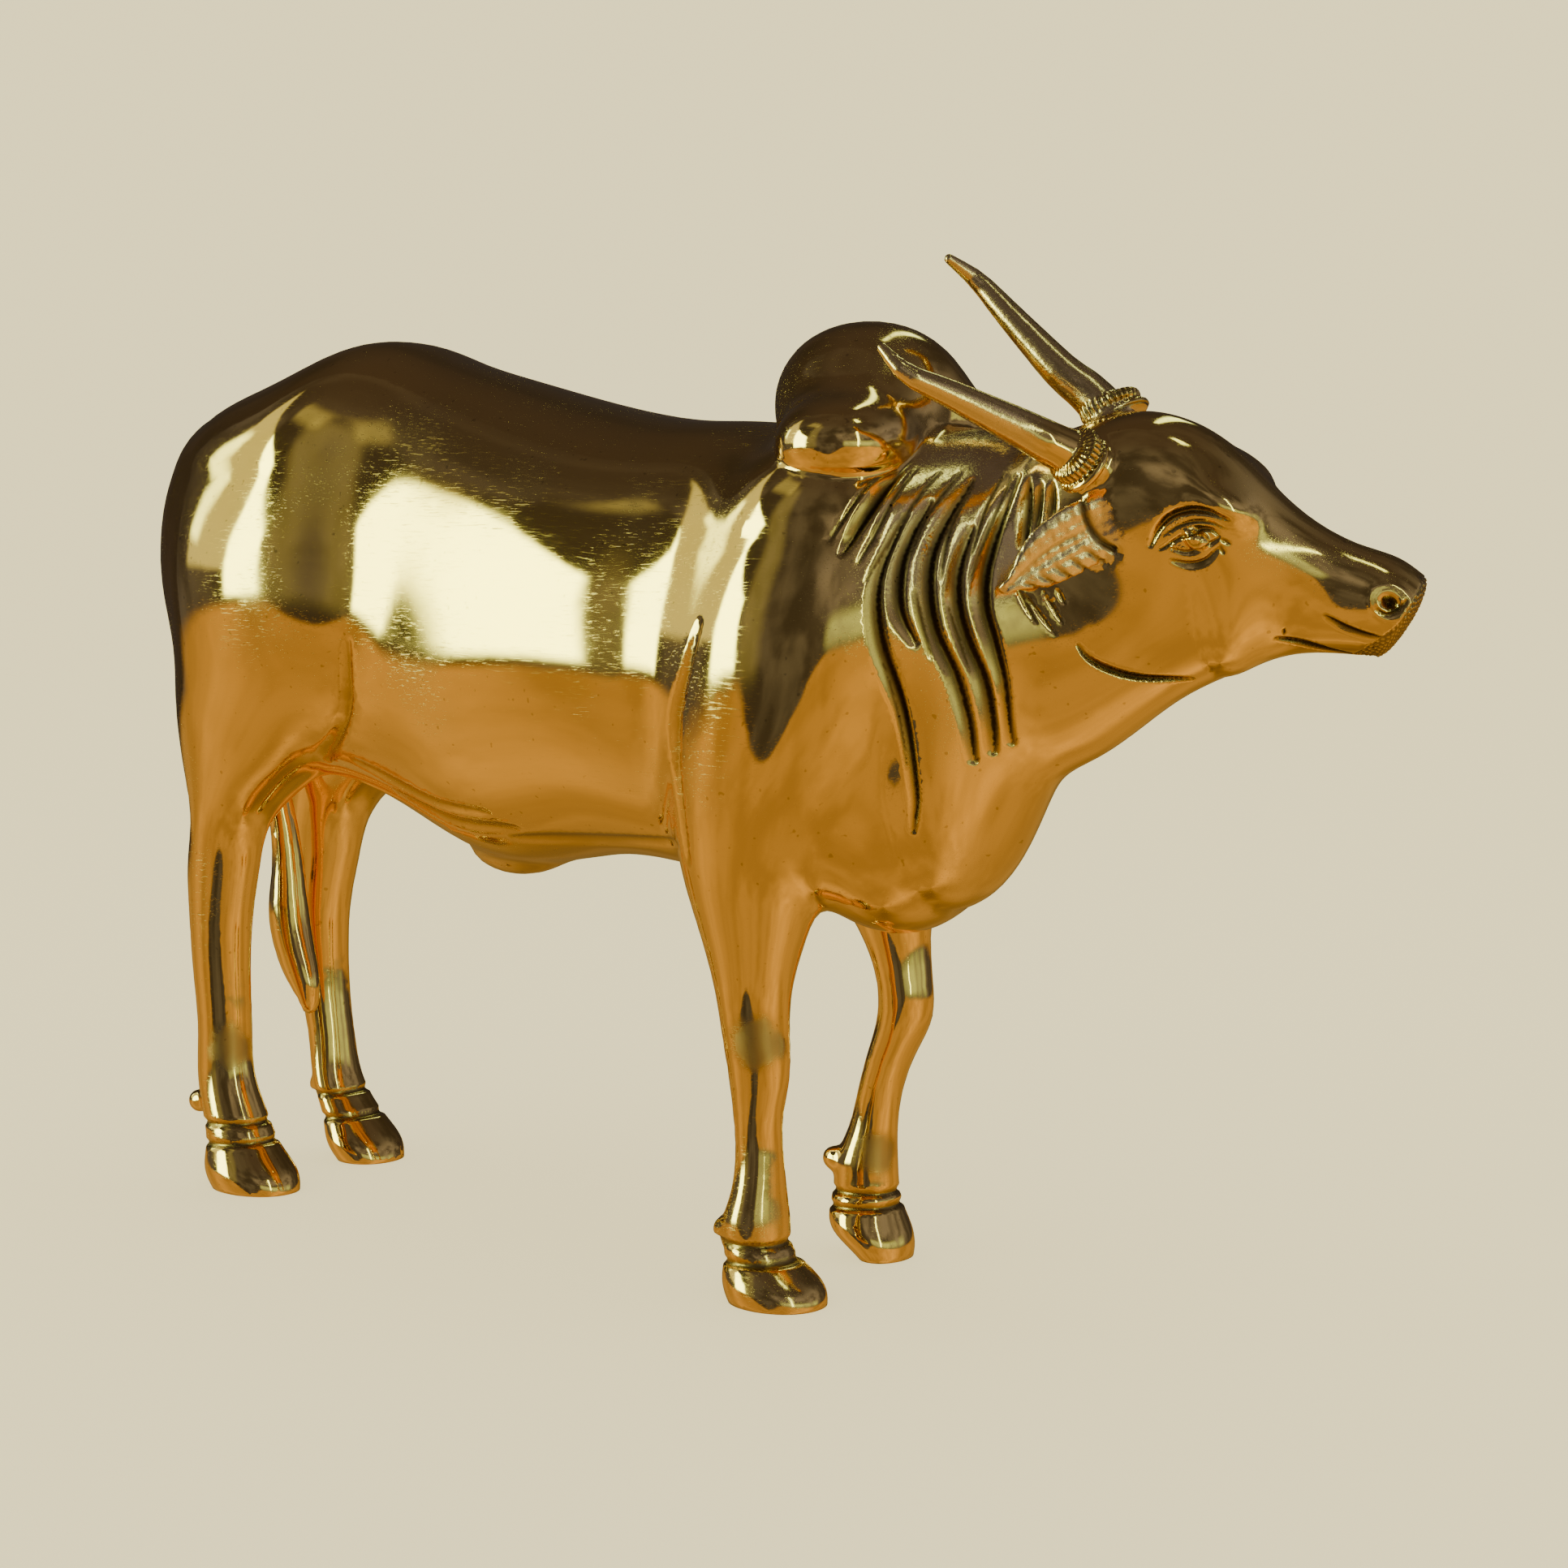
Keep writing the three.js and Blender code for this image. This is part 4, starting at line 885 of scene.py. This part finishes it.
BRUSHED_BRASS, HAMMERED_BRASS = (0.72, 0.53, 0.24, 1), (0.95, 0.72, 0.42, 1)
SMUDGE_BROWN, CUT_SHADE_AND_SPECKS = (0.24, 0.18, 0.12, 1), (0.022, 0.013, 0.008, 1)
tint = brass.mix(cloud * 0.6, BRIGHT_BRASS, DEEP_BRASS)
tint = brass.mix(haze * 0.3, tint, BRUSHED_BRASS)
tint = brass.mix(beaten * 0.8, tint, HAMMERED_BRASS)
tint = brass.mix(smudge * 0.6, tint, SMUDGE_BROWN)
# Painted shade in the cuts, near black, plus fine dark specks over the skin.
tint = brass.mix((cut_shade ** 0.7) * 0.97 + pits * 0.3, tint, CUT_SHADE_AND_SPECKS)
roughness = 0.05 + haze * 0.08 + cloud * 0.03 + streaks * 0.26
roughness = roughness + cut_shade * 0.4 + smudge * 0.35 + beaten * 0.2
hammered = noise(700, 3, 0.6) * 6 * beaten
height = streaks * 0.15 + noise(70, 3) * 0.4 + hammered
bump = brass.node("ShaderNodeBump", {}, {"Strength": 0.1, "Distance": 0.0002, "Height": height})
surface = brass.node("ShaderNodeBsdfPrincipled", {}, {
    "Base Color": tint, "Metallic": 1.0, "Roughness": roughness, "Normal": bump,
})
brass.node("ShaderNodeOutputMaterial", {}, {"Surface": surface})
bull.data.materials.append(brass.material)
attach(bull, "root")
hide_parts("bull")

# Studio: a pale floor in a pale room. The brass mirrors a painted shell instead of them: warm brown
# ground, a dark room and a tall window with a few smaller ones, seen by nothing else.
BACKDROP = (1.62, 1.4, 0.72, 1)
world = bpy.data.worlds.new("studio")
world.use_nodes = True
world.node_tree.nodes["Background"].inputs["Color"].default_value = BACKDROP
bpy.context.scene.world = world
bpy.ops.object.select_all(action="DESELECT")
FLOOR_RADIUS = 4
bpy.ops.mesh.primitive_circle_add(vertices=96, radius=FLOOR_RADIUS, fill_type="NGON", location=(0, 0, 0))
floor = bpy.context.object
floor.name = "floor"
paper = Finish("pale_paper")
glow = paper.node("ShaderNodeEmission", {}, {"Color": BACKDROP, "Strength": 1.0})
matt = paper.node("ShaderNodeBsdfDiffuse", {}, {"Color": (1, 1, 1, 1)})
paper.node("ShaderNodeOutputMaterial", {}, {
    "Surface": paper.node("ShaderNodeMixShader", {}, {0: 0.7, 1: matt, 2: glow}),
})
floor.data.materials.append(paper.material)
floor.visible_glossy = False

bpy.ops.object.select_all(action="DESELECT")
SHELL_RADIUS = 5
bpy.ops.mesh.primitive_uv_sphere_add(segments=64, ring_count=32, radius=SHELL_RADIUS, location=(0, 0, 0))
shell = bpy.context.object
shell.name = "mirrored_room"
bpy.ops.object.shade_smooth()
room = Finish("mirrored_room")
place_on_shell = room.node("ShaderNodeTexCoord", {}, {}, 3)
toward = room.node("ShaderNodeVectorMath", {"operation": "NORMALIZE"}, {0: place_on_shell})
split = [room.node("ShaderNodeSeparateXYZ", {}, {"Vector": toward}, k) for k in range(3)]
turn = split[1].maths("ARCTAN2", split[0]) * (180 / math.pi)
lift = split[2].maths("ARCSINE") * (180 / math.pi)


def swell(at, middle, reach):
    # 1 at the middle and 0 beyond the reach on either side of it.
    return 1 - ((at - middle) / reach).maths("ABSOLUTE").ramp(0, 1)


def window(left, right, low, high, soft=1.5):
    # 1 inside a patch of the shell given in degrees.
    inside = turn.ramp(left - soft, left + soft) * (1 - turn.ramp(right - soft, right + soft))
    return inside * lift.ramp(low - soft, low + soft) * (1 - lift.ramp(high - soft, high + soft))


# The tall window has a slanting top. Its right part shines and its left part is veiled.
top = 26 - (turn + 135) * 0.72
slant = (top - lift).ramp(-1.5, 1.5)
bright_part = slant * window(-144, -124.5, -3, 40)
veiled_part = slant * window(-168, -144, 5, 60)

clouds = room.node("ShaderNodeTexNoise", {}, {"Vector": toward, "Scale": 3.0, "Detail": 4.0})
cloudy = clouds.ramp(0.35, 0.65)
WARM_GROUND, WINDOW_LIGHT, VEIL = (1.0, 0.585, 0.14), (0.92, 1.2, 0.55), (1.0, 1.03, 0.45)
FRONT_WALL, FRONT_GLOW = (0.125, 0.12, 0.13, 1), (0.29, 0.28, 0.32, 1)
REAR_WALL, SHADOWS, CEILING = (0.052, 0.041, 0.034, 1), (0.038, 0.032, 0.027, 1), (0.078, 0.062, 0.064, 1)
dark = room.mix(window(-70, 65, 0, 36, 14), FRONT_WALL, FRONT_GLOW)
dark = room.mix(turn.ramp(50, 110), dark, REAR_WALL)
dark = room.mix(cloudy * 0.8, dark, SHADOWS)
dark = room.mix(lift.ramp(35, 65) * 0.7, dark, CEILING)
warm = 0.36 + swell(turn, 0, 45) * 0.32 + swell(turn, -150, 20) * 0.16 - swell(turn, 128, 50) * 0.18
warm = warm * (0.85 + cloudy * 0.3) * 1.42
ground = room.node("ShaderNodeVectorMath", {"operation": "SCALE"}, {0: WARM_GROUND, "Scale": warm})
horizon = -5.5 - swell(turn, -88, 38) * 22
below = 1 - (lift - horizon).ramp(-1.6, 1.6)
seen = room.mix(below, dark, ground)
veils = veiled_part * 0.75 + window(-122, -108, -6, 50, 4) * 0.14 + window(-140, -117, 44, 54, 3) * 0.3
veil = room.node("ShaderNodeVectorMath", {"operation": "SCALE"}, {0: VEIL, "Scale": veils})
seen = room.node("ShaderNodeVectorMath", {"operation": "ADD"}, {0: seen, 1: veil})
panes = bright_part * 9 + window(-168, -162, 12, 28, 2) * 3
panes = panes + window(-29, -25.5, -2, 36, 0.8) * 6 + window(104, 111, 35, 68, 2) * 3
panes = panes + window(-14, 2, 64, 74, 2) * 3 + window(-55, 48, -3, 8, 4) * (0.12 + cloudy * 0.6)
light = room.node("ShaderNodeVectorMath", {"operation": "SCALE"}, {0: WINDOW_LIGHT, "Scale": panes})
total = room.node("ShaderNodeVectorMath", {"operation": "ADD"}, {0: seen, 1: light})
shine = room.node("ShaderNodeEmission", {}, {"Color": total, "Strength": 1.0})
room.node("ShaderNodeOutputMaterial", {}, {"Surface": shine})
shell.data.materials.append(room.material)
shell.visible_camera = False
shell.visible_diffuse = False
shell.visible_shadow = False

lamp = bpy.data.objects.new("top_light", bpy.data.lights.new("top_light", "AREA"))
lamp.data.size = 1.5
lamp.data.energy = 4
lamp.location = 0, 0, 1.6
lamp.visible_camera = False
lamp.visible_glossy = False
bpy.context.scene.collection.objects.link(lamp)

# The camera stands where the photographer stood.
CAMERA_AT = (0.4713, -0.56302, 0.190)
CAMERA_TURN = 38.3
CAMERA_DROP = 5.16
PHOTO_PIXELS = 1932
FOCAL_PIXELS = 3500
lens = bpy.data.cameras.new("camera")
lens.sensor_width = 36
lens.lens = lens.sensor_width * FOCAL_PIXELS / PHOTO_PIXELS
camera = bpy.data.objects.new("camera", lens)
camera.location = CAMERA_AT
camera.rotation_euler = math.radians(90 - CAMERA_DROP), 0, math.radians(CAMERA_TURN)
bpy.context.scene.collection.objects.link(camera)
bpy.context.scene.camera = camera
